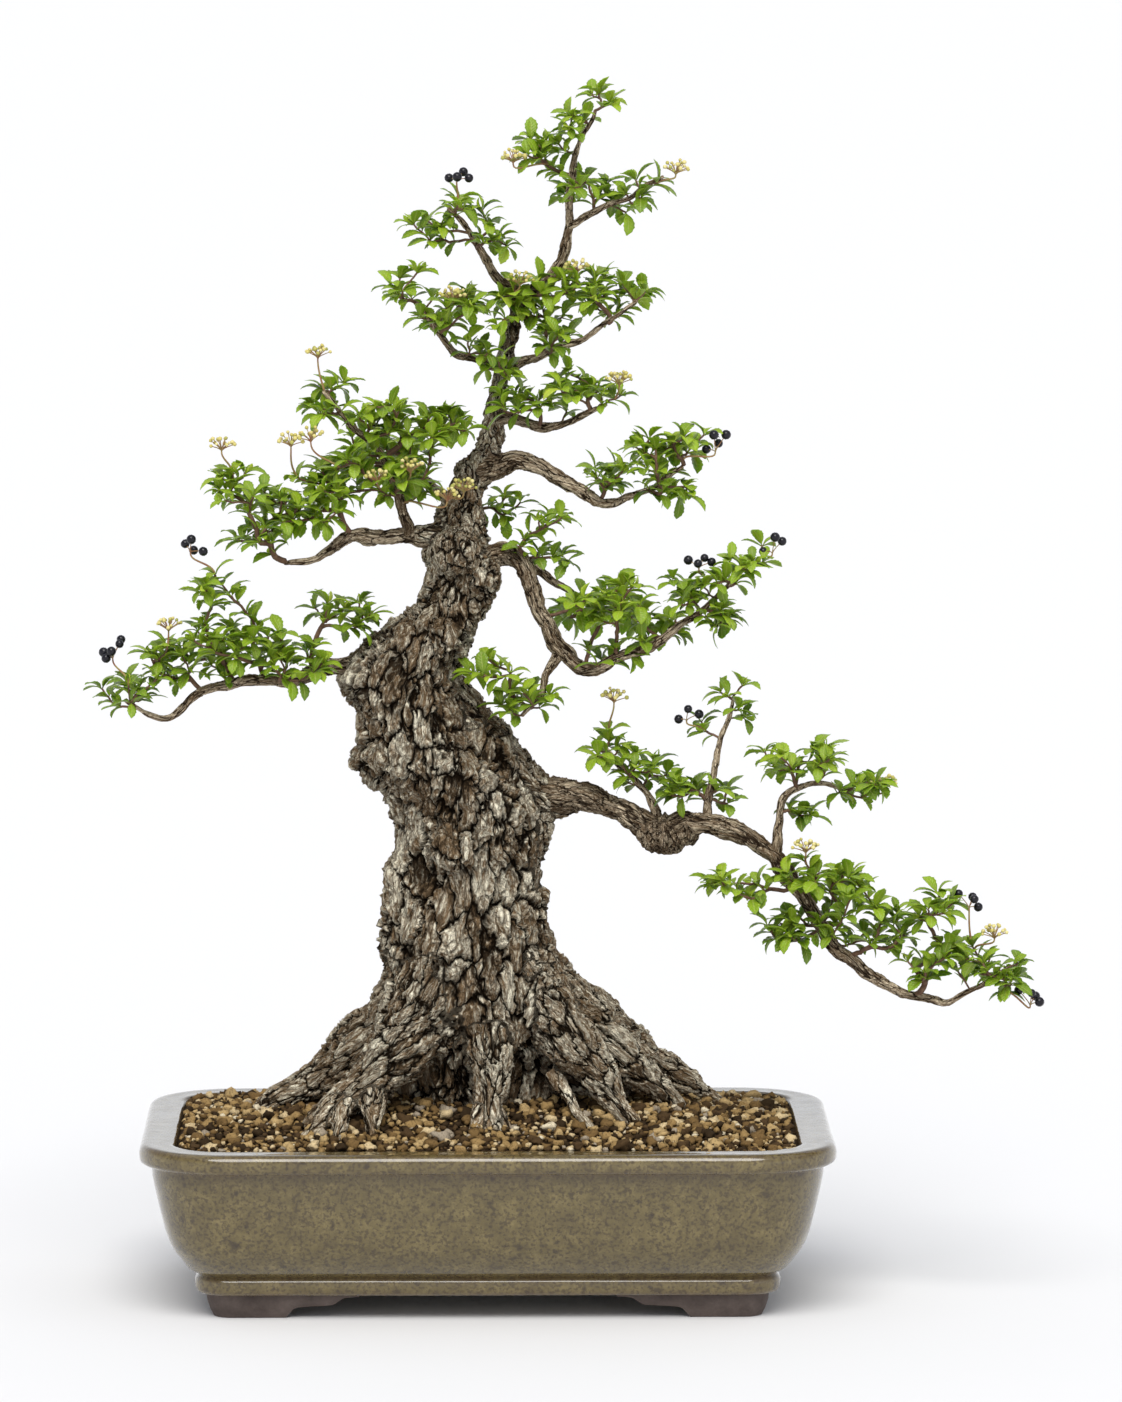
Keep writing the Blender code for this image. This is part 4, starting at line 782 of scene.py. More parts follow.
def make_pot(material):
    corner_steps, side_steps = 22, 26
    rows = pot_profile()
    rings = []
    thin = []
    for inset, z, bare in rows:
        radius = max(CORNER_RADIUS - inset, LEAST_RADIUS)
        outline = rounded_outline(HALF_X - inset, HALF_Y - inset, radius, corner_steps, side_steps)
        rings.append(np.column_stack([outline, np.full(len(outline), z)]))
        thin.append(np.full(len(outline), bare))
    points = np.concatenate(rings) + POT_BASE
    wobble = np.array([noise.noise(Vector(p) * 14.0) for p in points])
    outward = points - POT_BASE
    outward[:, 2] = 0.0
    outward /= np.linalg.norm(outward, axis=1)[:, None]
    points = points + outward * (wobble * 0.0006)[:, None]
    thin = np.concatenate(thin)
    patchy = np.array([noise.noise(Vector(p) * 70.0) for p in points])
    thin = np.clip(thin * (0.8 + 0.7 * patchy), 0.0, 1.0)
    pot = solid_object("pot_glazed", points, capped(len(rings), len(rings[0])), material)
    paint(pot, "thin", thin)
    shade_smooth(pot)
    cutters = [drain_cutter(side) for side in (-1, 1)]
    for cutter in cutters:
        cut = pot.modifiers.new("Drain", "BOOLEAN")
        cut.operation = "DIFFERENCE"
        cut.solver = "EXACT"
        cut.object = cutter
    bake(pot)
    for cutter in cutters:
        bpy.data.objects.remove(cutter, do_unlink=True)
    pot.data.set_sharp_from_angle(angle=math.radians(50))
    return keep(pot, "glaze_olive", "pot_body")


def bake(obj):
    """Turn the object's modifiers into its mesh."""
    graph = bpy.context.evaluated_depsgraph_get()
    mesh = bpy.data.meshes.new_from_object(obj.evaluated_get(graph))
    obj.modifiers.clear()
    obj.data = mesh


def drain_cutter(side):
    angles = 2 * np.pi * np.arange(DRAIN_SIDES) / DRAIN_SIDES
    circle = np.column_stack([DRAIN_RADIUS * np.cos(angles) + POT_MID[0] + side * DRAIN_SPACING / 2,
                              DRAIN_RADIUS * np.sin(angles) + POT_MID[1]])
    points = [(*p, FOOT_TOP - 0.005) for p in circle] + [(*p, FOOT_TOP + 0.015) for p in circle]
    return solid_object("drain_core", points, capped(2, DRAIN_SIDES))


def make_feet(material):
    for name in ("front_left", "front_right", "back_left", "back_right"):
        low, high = (np.array(corner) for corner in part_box("pot_foot_" + name))
        sign_x = -1 if "left" in name else 1
        sign_y = -1 if "front" in name else 1
        foot = make_foot("foot_" + name, low, high, sign_x, sign_y, material)
        keep(foot, "clay_bare", "pot_foot_" + name)


def ogee(share):
    """Height of a foot's underside from its arm's end to its sole, as a share of its height."""
    stops = [0.0, 0.05, 0.10, 0.135, 0.17, 0.24, 0.33, 0.40, 0.43, 0.455, 0.48, 1.01]
    rise = [0.94, 0.93, 0.88, 0.72, 0.57, 0.52, 0.50, 0.46, 0.38, 0.18, 0.0, 0.0]
    return np.interp(share, stops, rise)


def make_foot(name, low, high, sign_x, sign_y, material):
    top, base = high[2], low[2]
    tall = top - base
    reach_x, reach_y = high[0] - low[0], high[1] - low[1]
    radius, thick, tuck = FOOT_RADIUS, FOOT_THICKNESS, FOOT_TUCK
    corner = np.array([high[0] if sign_x > 0 else low[0], high[1] if sign_y > 0 else low[1]])
    stations = []
    for share in np.concatenate([np.linspace(0, 0.5, 44), np.linspace(0.55, 1 - radius / reach_x, 6)]):
        stations.append((np.array([-reach_x * (1 - share), 0.0]), np.array([0.0, -1.0]), ogee(share)))
    for step in range(1, 14):
        angle = math.pi / 2 * (1 - step / 14)
        out = np.array([math.cos(angle), math.sin(angle)])
        stations.append((np.array([-radius, -radius]) + out * radius, -out, 0.0))
    for share in np.concatenate([np.linspace(1 - radius / reach_y, 0.55, 6), np.linspace(0.5, 0, 44)]):
        stations.append((np.array([0.0, -reach_y * (1 - share)]), np.array([-1.0, 0.0]), ogee(share)))
    rings = []
    for spot, inward, rise in stations:
        z = base + rise * tall
        lean = tuck * (1 - rise)
        edge = min(0.0012, (top - z) * 0.4)
        section = [(0.0, top), (lean * 0.15, top - (top - z) * 0.3), (lean * 0.6, top - (top - z) * 0.7),
                   (lean, z + edge), (lean + edge * 0.3, z + edge * 0.3), (lean + edge, z),
                   (thick - edge, z), (thick, z + edge), (thick, top)]
        ring = []
        for depth, height in section:
            place = spot + inward * depth
            ring.append([corner[0] + sign_x * place[0], corner[1] + sign_y * place[1], height])
        rings.append(ring)
    count = len(rings[0])
    points = np.concatenate(rings)
    faces = ring_faces(len(rings), count).tolist()
    faces += [list(range(count)), list(range(len(points) - count, len(points)))[::-1]]
    if sign_x * sign_y > 0:
        faces = [face[::-1] for face in faces]
    foot = solid_object(name, points, faces, material)
    shade_smooth(foot, 40)
    return foot


# ---------------------------------------------------------------- skeleton distances
def trunk_paths():
    """Centre lines of the trunk and roots with radii, as dense points."""
    rows = spline(TRUNK_RINGS, 6)
    paths = [np.column_stack([rows[:, :3], (rows[:, 3] + rows[:, 4]) / 2])]
    for root in ROOTS + COLLARS:
        paths.append(spline(root, 8))
    return paths


def soil_height(x, y):
    """Height of the soil over the lip plane at a place measured from the pot's middle."""
    across = ((x + 0.008) / 0.160) ** 2
    along = ((y - 0.012) / 0.090) ** 2
    return -SOIL_BELOW_LIP + MOUND_HEIGHT * np.exp(-across - along)


def make_soil(material, gap_shade_material):
    """A bed of loose granules: a bed darkened as painted shade for the gaps between the stones, with stones
    packed over it.
    """
    rings = []
    for inset, z in ((0.0424, FOOT_TOP + 0.0104), (0.0324, FOOT_TOP + 0.026), (0.0254, FOOT_TOP + 0.048),
                     (0.0234, LIP_Z - 0.012), (0.0226, LIP_Z - 0.0045)):
        radius = max(CORNER_RADIUS - inset, LEAST_RADIUS)
        outline = rounded_outline(HALF_X - inset, HALF_Y - inset, radius, 10, 30)
        rings.append(np.column_stack([outline, np.full(len(outline), z)]))
    for share in np.linspace(0.985, 0.03, 40):
        outline = rounded_outline((HALF_X - 0.0226) * share, (HALF_Y - 0.0226) * share, 0.030 * share, 10, 30)
        z = LIP_Z + soil_height(outline[:, 0], outline[:, 1]) - SOIL_UNDER_STONES
        lumps = np.array([noise.noise(Vector((p[0], p[1], 0.0)) * 160.0) for p in outline])
        rings.append(np.column_stack([outline, z + lumps * 0.0012]))
    points = np.concatenate(rings) + POT_BASE
    bed = solid_object("soil_bed_under", points, capped(len(rings), len(rings[0])), gap_shade_material)
    paint(bed, "tint", np.full(len(points), 0.2))
    keep(bed, "soil_granules", "soil_bed")
    coarse, fine = scatter_stones()
    keep(stone_object("soil_stones_coarse", coarse, 2, material), "soil_granules")
    keep(stone_object("soil_stones_fine", fine, 1, material), "soil_granules")


def scatter_stones():
    """Places and sizes of the granules: (x, y, z, radius, tint), no two much overlapping."""
    rng = np.random.default_rng(STONE_SEED)
    paths = np.concatenate(trunk_paths())
    low_paths = paths[paths[:, 2] < 0.06]
    grid = {}
    coarse, fine = [], []
    wanted = [(90, 0.0042, 0.0054), (900, 0.0030, 0.0042), (7000, 0.0020, 0.0030), (16000, 0.0012, 0.0020)]
    limit_x, limit_y = HALF_X - LIP_WIDTH - 0.0008, HALF_Y - LIP_WIDTH - 0.0008
    corner = CORNER_RADIUS - LIP_WIDTH
    for tries, small, large in wanted:
        for _ in range(tries):
            r = rng.uniform(small, large)
            x = rng.uniform(-limit_x + r, limit_x - r)
            y = rng.uniform(-limit_y + r, limit_y - r)
            over_x, over_y = abs(x) - (limit_x - corner), abs(y) - (limit_y - corner)
            if over_x > 0 and over_y > 0 and math.hypot(over_x, over_y) > corner - r:
                continue
            top = float(soil_height(x, y))
            gap = np.sqrt((low_paths[:, 0] - x) ** 2 + (low_paths[:, 1] - y) ** 2
                          + (low_paths[:, 2] - top) ** 2) - low_paths[:, 3]
            if gap.min() < -STONE_SINK:
                continue
            key = (int(x // STONE_CELL), int(y // STONE_CELL))
            near = [row for i in (-1, 0, 1) for j in (-1, 0, 1)
                    for row in grid.get((key[0] + i, key[1] + j), ())]
            if any((ox - x) ** 2 + (oy - y) ** 2 < (0.80 * (other + r)) ** 2 for ox, oy, other in near):
                continue
            grid.setdefault(key, []).append((x, y, r))
            tint = rng.choice([0.05, 0.20, 0.35, 0.50, 0.65, 0.80, 0.90, 0.97],
                              p=[0.16, 0.18, 0.18, 0.17, 0.14, 0.10, 0.04, 0.03])
            lift = rng.uniform(-0.35, 0.35) * r
            row = (x, y, top + lift - 0.0010, r, tint)
            (coarse if r > FINE_STONE else fine).append(row)
    return np.array(coarse), np.array(fine)


def icosphere(level):
    bm = bmesh.new()
    bmesh.ops.create_icosphere(bm, subdivisions=level, radius=1.0)
    points = np.array([v.co for v in bm.verts])
    faces = np.array([[v.index for v in f.verts] for f in bm.faces])
    bm.free()
    return points, faces


def stone_object(name, rows, level, material):
    """Rounded, uneven stones as one mesh."""
    rng = np.random.default_rng(CHIP_SEED + level)
    points, faces = icosphere(level)
    shapes = []
    for kind in range(12):
        offset = Vector((kind * 7.3, 1.7, 3.1))
        lump = np.array([noise.noise(Vector(p) * 1.1 + offset) for p in points])
        chip = np.array([noise.cell(Vector(p) * 1.3 + offset) for p in points])
        shapes.append(points * (1 + 0.42 * lump + 0.34 * (chip - 0.5))[:, None])
    verts, quads, tints = [], [], []
    for i, (x, y, z, r, tint) in enumerate(rows):
        shape = shapes[rng.integers(12)] * rng.uniform(0.78, 1.12, 3)
        turn = random_rotation(rng)
        flat = np.array([1.0, 1.0, 0.82])
        verts.append((shape @ turn.T) * flat * r * 1.12 + at(x, y, z))
        quads.append(faces + i * len(points))
        tints.append(np.full(len(points), tint))
    obj = mesh_object(name, np.concatenate(verts), np.concatenate(quads), material)
    paint(obj, "tint", np.concatenate(tints))
    return obj


def random_rotation(rng):
    q = rng.normal(size=4)
    w, x, y, z = q / np.linalg.norm(q)
    return np.array([[1 - 2 * (y * y + z * z), 2 * (x * y - z * w), 2 * (x * z + y * w)],
                     [2 * (x * y + z * w), 1 - 2 * (x * x + z * z), 2 * (y * z - x * w)],
                     [2 * (x * z - y * w), 2 * (y * z + x * w), 1 - 2 * (x * x + y * y)]])


# ---------------------------------------------------------------- trunk
def trunk_skin(rows, sides):
    """Rings of the trunk, gently fluted, closed at both ends."""
    rings = []
    angle = 2 * np.pi * np.arange(sides) / sides
    for x, y, z, half_x, half_y in rows:
        flute = float(smoothstep(0.16, 0.02, z))
        lobe = (1 + 0.030 * np.sin(3 * angle + z * 30) + 0.025 * np.sin(5 * angle - z * 22)
                + flute * 0.06 * np.sin(9 * angle + 8 * z))
        rings.append(np.column_stack([x + half_x * 0.985 * lobe * np.cos(angle),
                                      y + half_y * 0.985 * lobe * np.sin(angle), np.full(sides, z)]) + ORIGIN)
    ends = [ring.mean(axis=0) + (ring - ring.mean(axis=0)) * 0.02 for ring in (rings[0], rings[-1])]
    return np.concatenate([ends[0]] + rings + [ends[1]]), ring_faces(len(rings) + 2, sides)


def make_trunk(material):
    pile = Pile()
    pile.add(*trunk_skin(spline(TRUNK_RINGS, 6), TRUNK_SIDES))
    for root in ROOTS + COLLARS:
        path = spline(root, 10)
        drift = np.array([[noise.noise(Vector(p[:3]) * 40 + Vector((k * 9.0, 0, 0))) for k in range(3)]
                          for p in path])
        swell = 1 + 0.12 * np.array([noise.noise(Vector(p[:3]) * 70) for p in path])
        thinner = 1 - 0.30 * np.linspace(0, 1, len(path)) ** 1.5
        radii = path[:, 3] * 0.97 * swell * thinner
        verts, faces, _ = tube(path[:, :3] + drift * 0.0040 + ORIGIN, radii, ROOT_SIDES)
        pile.add(verts, faces)
    obj = pile.make("trunk_bark", material)
    ball_points, ball_faces = icosphere(3)
    burls = [mesh_object("burl", ball_points * r + at(x, y, z), ball_faces, material) for x, y, z, r in BURLS]
    join([obj] + burls)
    fuse = obj.modifiers.new("Fuse", "REMESH")
    fuse.mode = "VOXEL"
    fuse.voxel_size = TRUNK_VOXEL
    settle = obj.modifiers.new("Settle", "SMOOTH")
    settle.factor = 0.5
    settle.iterations = 8
    bake(obj)
    swell_skin(obj)
    place_bark(obj)
    roughen(obj)
    shade_smooth(obj)
    return keep(obj, "bark_craggy", "trunk")


def join(objects):
    with bpy.context.temp_override(active_object=objects[0], object=objects[0],
                                   selected_objects=objects, selected_editable_objects=objects):
        bpy.ops.object.join()


def mesh_array(mesh, key):
    values = np.empty(len(mesh.vertices) * 3, dtype=np.float32)
    mesh.vertices.foreach_get(key, values)
    return values.reshape(-1, 3).astype(float)


def swell_skin(obj):
    """Broad swellings and hollows, so that the outline wanders as old wood does."""
    mesh = obj.data
    points, normals = mesh_array(mesh, "co"), mesh_array(mesh, "normal")
    local = points - ORIGIN
    push = np.array([noise.noise(Vector((x * 42, y * 42, z * 26))) * 0.0022
                     + noise.noise(Vector((x * 110, y * 110, z * 60))) * 0.0012 for x, y, z in local])
    push *= 1 - 0.8 * smoothstep(0.36, 0.42, local[:, 2])
    points += normals * push[:, None]
    mesh.vertices.foreach_set("co", points.astype(np.float32).ravel())
    mesh.update()


def place_bark(obj):
    """Give every point its place in bark coordinates: across its limb, round it and along it."""
    mesh = obj.data
    local = mesh_array(mesh, "co") - ORIGIN
    best = np.full(len(local), 1e9)
    bark = np.zeros((len(local), 3))
    relief = np.zeros(len(local))
    shake = np.array([noise.noise(Vector(p) * 60) for p in local]) * 0.006
    for index, path in enumerate(trunk_paths()):
        path = path[path[:, 2] > -0.03]
        heading = unit(np.gradient(path[:, :3], axis=0))
        run = np.concatenate([[0], np.cumsum(np.linalg.norm(np.diff(path[:, :3], axis=0), axis=1))])
        gaps = ((local[:, None, :] - path[None, :, :3]) ** 2).sum(axis=2)
        near = gaps.argmin(axis=1)
        gap = np.sqrt(gaps[np.arange(len(local)), near])
        score = gap - path[near, 3] + (0.0 if index == 0 else shake)
        take = score < best
        offset = local - path[near, :3]
        slide = (offset * heading[near]).sum(axis=1)
        if index == 0:
            plate = np.interp(local[:, 2], TRUNK_PLATE_Z, TRUNK_PLATE)
            levels = np.linspace(-0.03, 0.52, 551)
            rise = np.cumsum(1 / np.interp(levels, TRUNK_PLATE_Z, TRUNK_PLATE)) * 0.001
            along = np.interp(local[:, 2], levels, rise) * 0.50
            spot = np.column_stack([local[:, 0] / plate, local[:, 1] / plate, along])
            depth = TRUNK_RELIEF * np.clip(plate / TRUNK_PLATE[0], 0.22, 1)
        else:
            flat = unit(np.cross(heading[near], [0, 0, 1.0]))
            over = np.cross(flat, heading[near])
            spot = np.column_stack([(offset * flat).sum(axis=1) / ROOT_PLATE + index * 11.3,
                                    (offset * over).sum(axis=1) / ROOT_PLATE,
                                    (run[near] + slide) / ROOT_PLATE * 0.33])
            depth = np.clip(0.25 * path[near, 3], 0.0009, 0.0046)
        bark[take] = spot[take]
        relief[take] = depth[take]
        best = np.minimum(best, score)
    place(obj, bark, relief)


def place(obj, bark, relief):
    layer = obj.data.attributes.new("bark", "FLOAT_VECTOR", "POINT")
    layer.data.foreach_set("vector", np.ascontiguousarray(bark, dtype=np.float32).ravel())
    paint(obj, "relief", relief)


# ---------------------------------------------------------------- branches
def wander(path, amount, frequency, seed):
    shift = np.array([[noise.noise(Vector(p[:3]) * frequency + Vector((seed + k * 9.0, 0, 0)))
                       for k in range(3)] for p in path])
    ease = np.minimum(1.0, np.arange(len(path)) / 6.0)[:, None]
    return path[:, :3] + shift * amount * ease


def add_stub(points, faces, bark, radius):
    """The stub of a lost limb under the cascading branch."""
    path = spline(STUB, 8)
    verts, quads, _ = tube(path[:, :3] + ORIGIN, path[:, 3], STUB_SIDES)
    lumps = np.array([noise.noise(Vector(p) * 210) for p in verts])
    spine = np.vstack([path[:1, :3], path[:, :3], path[-1:, :3]]) + ORIGIN
    middle = np.repeat(spine, STUB_SIDES, axis=0)
    verts = verts + (verts - middle) * (0.42 * lumps)[:, None]
    extra = (verts - ORIGIN) / STEM_PLATE * np.array([1.0, 1.0, 0.5])
    return (np.concatenate([points, verts]), np.concatenate([faces, quads + len(points)]),
            np.concatenate([bark, extra]), np.concatenate([radius, np.full(len(verts), 0.0070)]))


def make_branch(name, node, path, material, seed):
    fine = spline(path, 12)
    lengths = np.concatenate([[0], np.cumsum(np.linalg.norm(np.diff(fine[:, :3], axis=0), axis=1))])
    steps = max(12, int(lengths[-1] / 0.0009))
    spots = np.linspace(0, lengths[-1], steps)
    dense = np.column_stack([np.interp(spots, lengths, fine[:, k]) for k in range(4)])
    centres = wander(dense, 0.0026, 60.0, seed) + ORIGIN
    knots = np.array([noise.noise(Vector((s * 75, seed, 0))) + 0.5 * noise.noise(Vector((s * 190, seed, 4)))
                      for s in spots])
    radii = dense[:, 3] * (1 + 0.20 * knots) * (1 + 0.35 * np.exp(-spots / (path[0][3] * 1.8)))
    thick = path[0][3] > THICK_STEM
    sides = THICK_STEM_SIDES if thick else THIN_STEM_SIDES
    points, faces, outward = tube(centres, radii, sides)
    along = np.repeat(np.concatenate([[spots[0]], spots, [spots[-1]]]), sides)
    angle = np.tile(2 * np.pi * np.arange(sides) / sides, len(spots) + 2)
    radius = np.repeat(np.concatenate([[radii[0]], radii, [radii[-1]]]), sides)
    lumps = np.array([noise.noise(Vector(p) * 160) for p in points])
    points += outward * (lumps * radius * 0.13)[:, None]
    plate = STEM_PLATE if thick else SHOOT_PLATE
    bark = np.column_stack([np.cos(angle) * radius, np.sin(angle) * radius, along * 0.22]) / plate
    bark[:, 0] += seed * 5.1
    if node == "stem_cascade":
        points, faces, bark, radius = add_stub(points, faces, bark, radius)
    obj = mesh_object(name, points, faces, material)
    place(obj, bark, np.clip(0.24 * radius, 0.0003, 0.0017))
    roughen(obj)
    shade_smooth(obj)
    return keep(obj, "bark_smooth", node)


# ---------------------------------------------------------------- leaves
def leaf_template():
    """A serrated, keeled leaf as a thin closed shell: across, along, blade side."""
    stations = 13
    along = np.linspace(0.0, 1.0, stations)
    profile = np.interp(along, [0, 0.06, 0.16, 0.32, 0.50, 0.66, 0.80, 0.91, 1.0],
                        [0.045, 0.07, 0.34, 0.72, 0.96, 1.0, 0.82, 0.50, 0.06])
    teeth = np.where(np.arange(stations) % 2 == 0, 1.0, 0.89)
    teeth[:4] = 1.0
    across = np.array([-1.0, -0.5, 0.0, 0.5, 1.0])
    grid_u, grid_v, width = [], [], []
    for i, v in enumerate(along):
        for u in across:
            edge = teeth[i] if abs(u) == 1.0 else 1.0
            grid_u.append(u * edge)
            grid_v.append(v + (0.018 if abs(u) == 1.0 and teeth[i] == 1.0 and i > 3 else 0.0))
            width.append(profile[i])
    u, v, w = (np.array(a) for a in (grid_u, grid_v, width))
    columns = len(across)
    quads = []
    for i in range(stations - 1):
        for j in range(columns - 1):
            a = i * columns + j
            quads.append((a, a + 1, a + columns + 1, a + columns))
    top = np.array(quads)
    count = len(u)
    under = top[:, ::-1] + count
    rim = []
    border = list(range(columns))
    border += [i * columns + columns - 1 for i in range(1, stations)]
    border += [(stations - 1) * columns + j for j in range(columns - 2, -1, -1)]
    border += [i * columns for i in range(stations - 2, 0, -1)]
    for a, b in zip(border, border[1:] + border[:1]):
        rim.append((b, a, a + count, b + count))
    faces = np.concatenate([top, under, np.array(rim)])
    return (np.concatenate([u, u]), np.concatenate([v, v]), np.concatenate([w, w]),
            np.concatenate([np.ones(count), np.zeros(count)]), faces)


LEAF = leaf_template()


def unit(v):
    return v / (np.linalg.norm(v, axis=-1, keepdims=True) + 1e-12)


def leaf_mesh(bases, heads, ups, lengths, rng):
    """All the leaves of a spray: each arches along its length and folds along its midrib."""
    u, v, w, side, faces = LEAF
    n = len(bases)
    heads = unit(heads)
    across = unit(np.cross(heads, ups))
    ups = np.cross(across, heads)
    half = lengths * rng.uniform(0.235, 0.310, n)
    arch = rng.uniform(0.60, 1.45, n)
    fold = rng.uniform(0.10, 0.45, n)
    twist = rng.uniform(-0.20, 0.20, n)
    cup = rng.uniform(-0.12, 0.10, n)
    t = v[None, :]
    bend = arch[:, None] * (t - 0.15)
    forward = np.sin(bend) / np.maximum(arch[:, None], 0.05) + np.sin(0.15 * arch)[:, None] / arch[:, None]
    drop = -(np.cos(0.15 * arch)[:, None] - np.cos(bend)) / np.maximum(arch[:, None], 0.05)
    sideways = u[None, :] * w[None, :] * half[:, None]
    lift = np.abs(u)[None, :] * w[None, :] * half[:, None] * fold[:, None]
    lift += (u ** 2)[None, :] * w[None, :] * half[:, None] * cup[:, None]
    lift += sideways * twist[:, None] * t * 1.2
    lift += rng.uniform(-1, 1, (n, 1)) * 0.02 * lengths[:, None] * np.sin(6.0 * t)
    rise = drop * lengths[:, None] + lift
    rib = 1 + 1.6 * np.exp(-(u[None, :] / 0.2) ** 2) * (1 - t)
    thickness = LEAF_THICKNESS * (side[None, :] - 0.5) * rib
    points = (bases[:, None, :] + heads[:, None, :] * (forward * lengths[:, None])[..., None]
              + across[:, None, :] * sideways[..., None] + ups[:, None, :] * (rise + thickness)[..., None])
    k = len(u)
    quads = (faces[None] + (np.arange(n) * k)[:, None, None]).reshape(-1, 4)
    return points.reshape(-1, 3), quads, np.tile(u, n), np.tile(np.clip(v, 0, 1), n)


def bezier(a, b, c, d, steps):
    t = np.linspace(0, 1, steps)[:, None]
    return a * (1 - t) ** 3 + 3 * b * t * (1 - t) ** 2 + 3 * c * t * t * (1 - t) + d * t ** 3


def dense_stems():
    """Every branch as dense points with radius and heading, for twigs to grow from."""
    rows = []
    for path in STEMS.values():
        fine = spline(path, 12)
        heading = unit(np.gradient(fine[:, :3], axis=0))
        rows.append(np.column_stack([fine, heading])[len(fine) // 6:])
    return np.concatenate(rows)


def spread_tips(tufts, rng):
    """Shoot tips through the tufts, kept a leaf's width apart."""
    tips = []
    for x, y, z, r in tufts:
        wanted = max(2, int(round(LEAF_DENSITY * (r / 0.02) ** 2)))
        for _ in range(wanted * 30):
            if wanted == 0:
                break
            spot = rng.uniform(-1, 1, 3)
            if np.linalg.norm(spot) > 1:
                continue
            tip = np.array([x, y, z]) + spot * np.array([r * 0.88, r * 1.25, r * 0.66])
            if tips and np.linalg.norm(np.array(tips) - tip, axis=1).min() < TIP_SPACING:
                continue
            tips.append(tip)
            wanted -= 1
    return np.array(tips)


def make_spray(name, tufts, wood, leaf, twig, seed):
    """A leaf mass: twigs that fork from the nearest wood, leafy towards their tips."""
    rng = np.random.default_rng(seed)
    tips = spread_tips(tufts, rng)
    gaps = np.linalg.norm(wood[None, :, :3] - tips[:, None, :], axis=2)
    gap = gaps.min(axis=1)
    close = gaps.min(axis=0) < gap.max() + 0.01
    spots = [row[:3] for row in wood[close]]
    headings = [row[4:7] for row in wood[close]]
    parents = [-1] * len(spots)
    load = [0] * len(spots)
    curves = []
    for tip in tips[np.argsort(gap)]:
        here = np.array(spots)
        away = tip - here
        far = np.linalg.norm(away, axis=1) + 1e-6
        bend = 1 - (away * np.array(headings)).sum(axis=1) / far
        cost = far * (1 + 0.30 * bend) + 1.5 * np.maximum(here[:, 2] - tip[2] + 0.001, 0)
        foot = int(np.argmin(cost))
        curve = twig_curve(here[foot], headings[foot], tip, rng)
        steps = unit(np.gradient(curve, axis=0))
        chain = [foot]
        for spot, heading in zip(curve[1:], steps[1:]):
            parents.append(chain[-1])
            chain.append(len(spots))
            spots.append(spot)
            headings.append(heading)
            load.append(0)
        walk = chain[-1]
        while walk != -1:
            load[walk] += 1
            walk = parents[walk]
        curves.append((curve, chain))
    twigs = Pile()
    leaves = []
    for curve, chain in curves:
        weight = np.array([load[k] for k in chain[1:2] + chain[1:]], dtype=float)
        thick = np.minimum(0.00034 + 0.00026 * weight ** 0.62, 0.0019)
        verts, faces, _ = tube(curve + ORIGIN, thick, TWIG_SIDES)
        twigs.add(verts, faces)
        grow_leaves(curve, thick, rng, leaves)
    bases, heads, ups = (np.array([row[k] for row in leaves]) for k in range(3))
    lengths = np.array([row[3] for row in leaves])
    points, faces, across, along = leaf_mesh(bases + ORIGIN, heads, ups, lengths, rng)
    obj = mesh_object("foliage_" + name[7:], points, faces, leaf)
    # Painted light: leaves standing higher in their spray get a lighter tone. The rest of the tone is random,
    # with small young leaves lighter.
    high = (bases[:, 2] - bases[:, 2].min()) / max(np.ptp(bases[:, 2]), 0.01)
    tone = np.clip(0.20 + 0.30 * high + rng.normal(0, 0.15, len(bases)) + 0.22 * (lengths < 0.0092), 0, 1)
    paint(obj, "across", across)
    paint(obj, "along", along)
    paint(obj, "tone", np.repeat(tone, len(LEAF[0])))
    keep(obj, "leaf_green", name)
    keep(twigs.make("twigs_" + name[7:], twig), "bark_smooth")
    fresh = len(wood[close])
    return np.column_stack([spots[fresh:], np.full(len(spots) - fresh, 0.0005), headings[fresh:]])


def twig_curve(start, heading, tip, rng):
    """A thin shoot's path: leaves its parent forwards and turns up towards its tip."""
    away = tip - start
    reach = np.linalg.norm(away)
    leave = unit(heading * 0.6 + unit(away) * 0.8 + np.array([0, 0, 0.15]) + rng.normal(0, 0.12, 3))
    arrive = unit(unit(away) + np.array([0, 0, 0.45]) + rng.normal(0, 0.15, 3))
    curve = bezier(start, start + leave * reach * 0.35, tip - arrive * reach * 0.3, tip,
                   max(5, int(reach / 0.0024)))
    kinks = rng.normal(0, 0.00028, curve.shape)
    kinks[0] = 0.0
    return curve + kinks


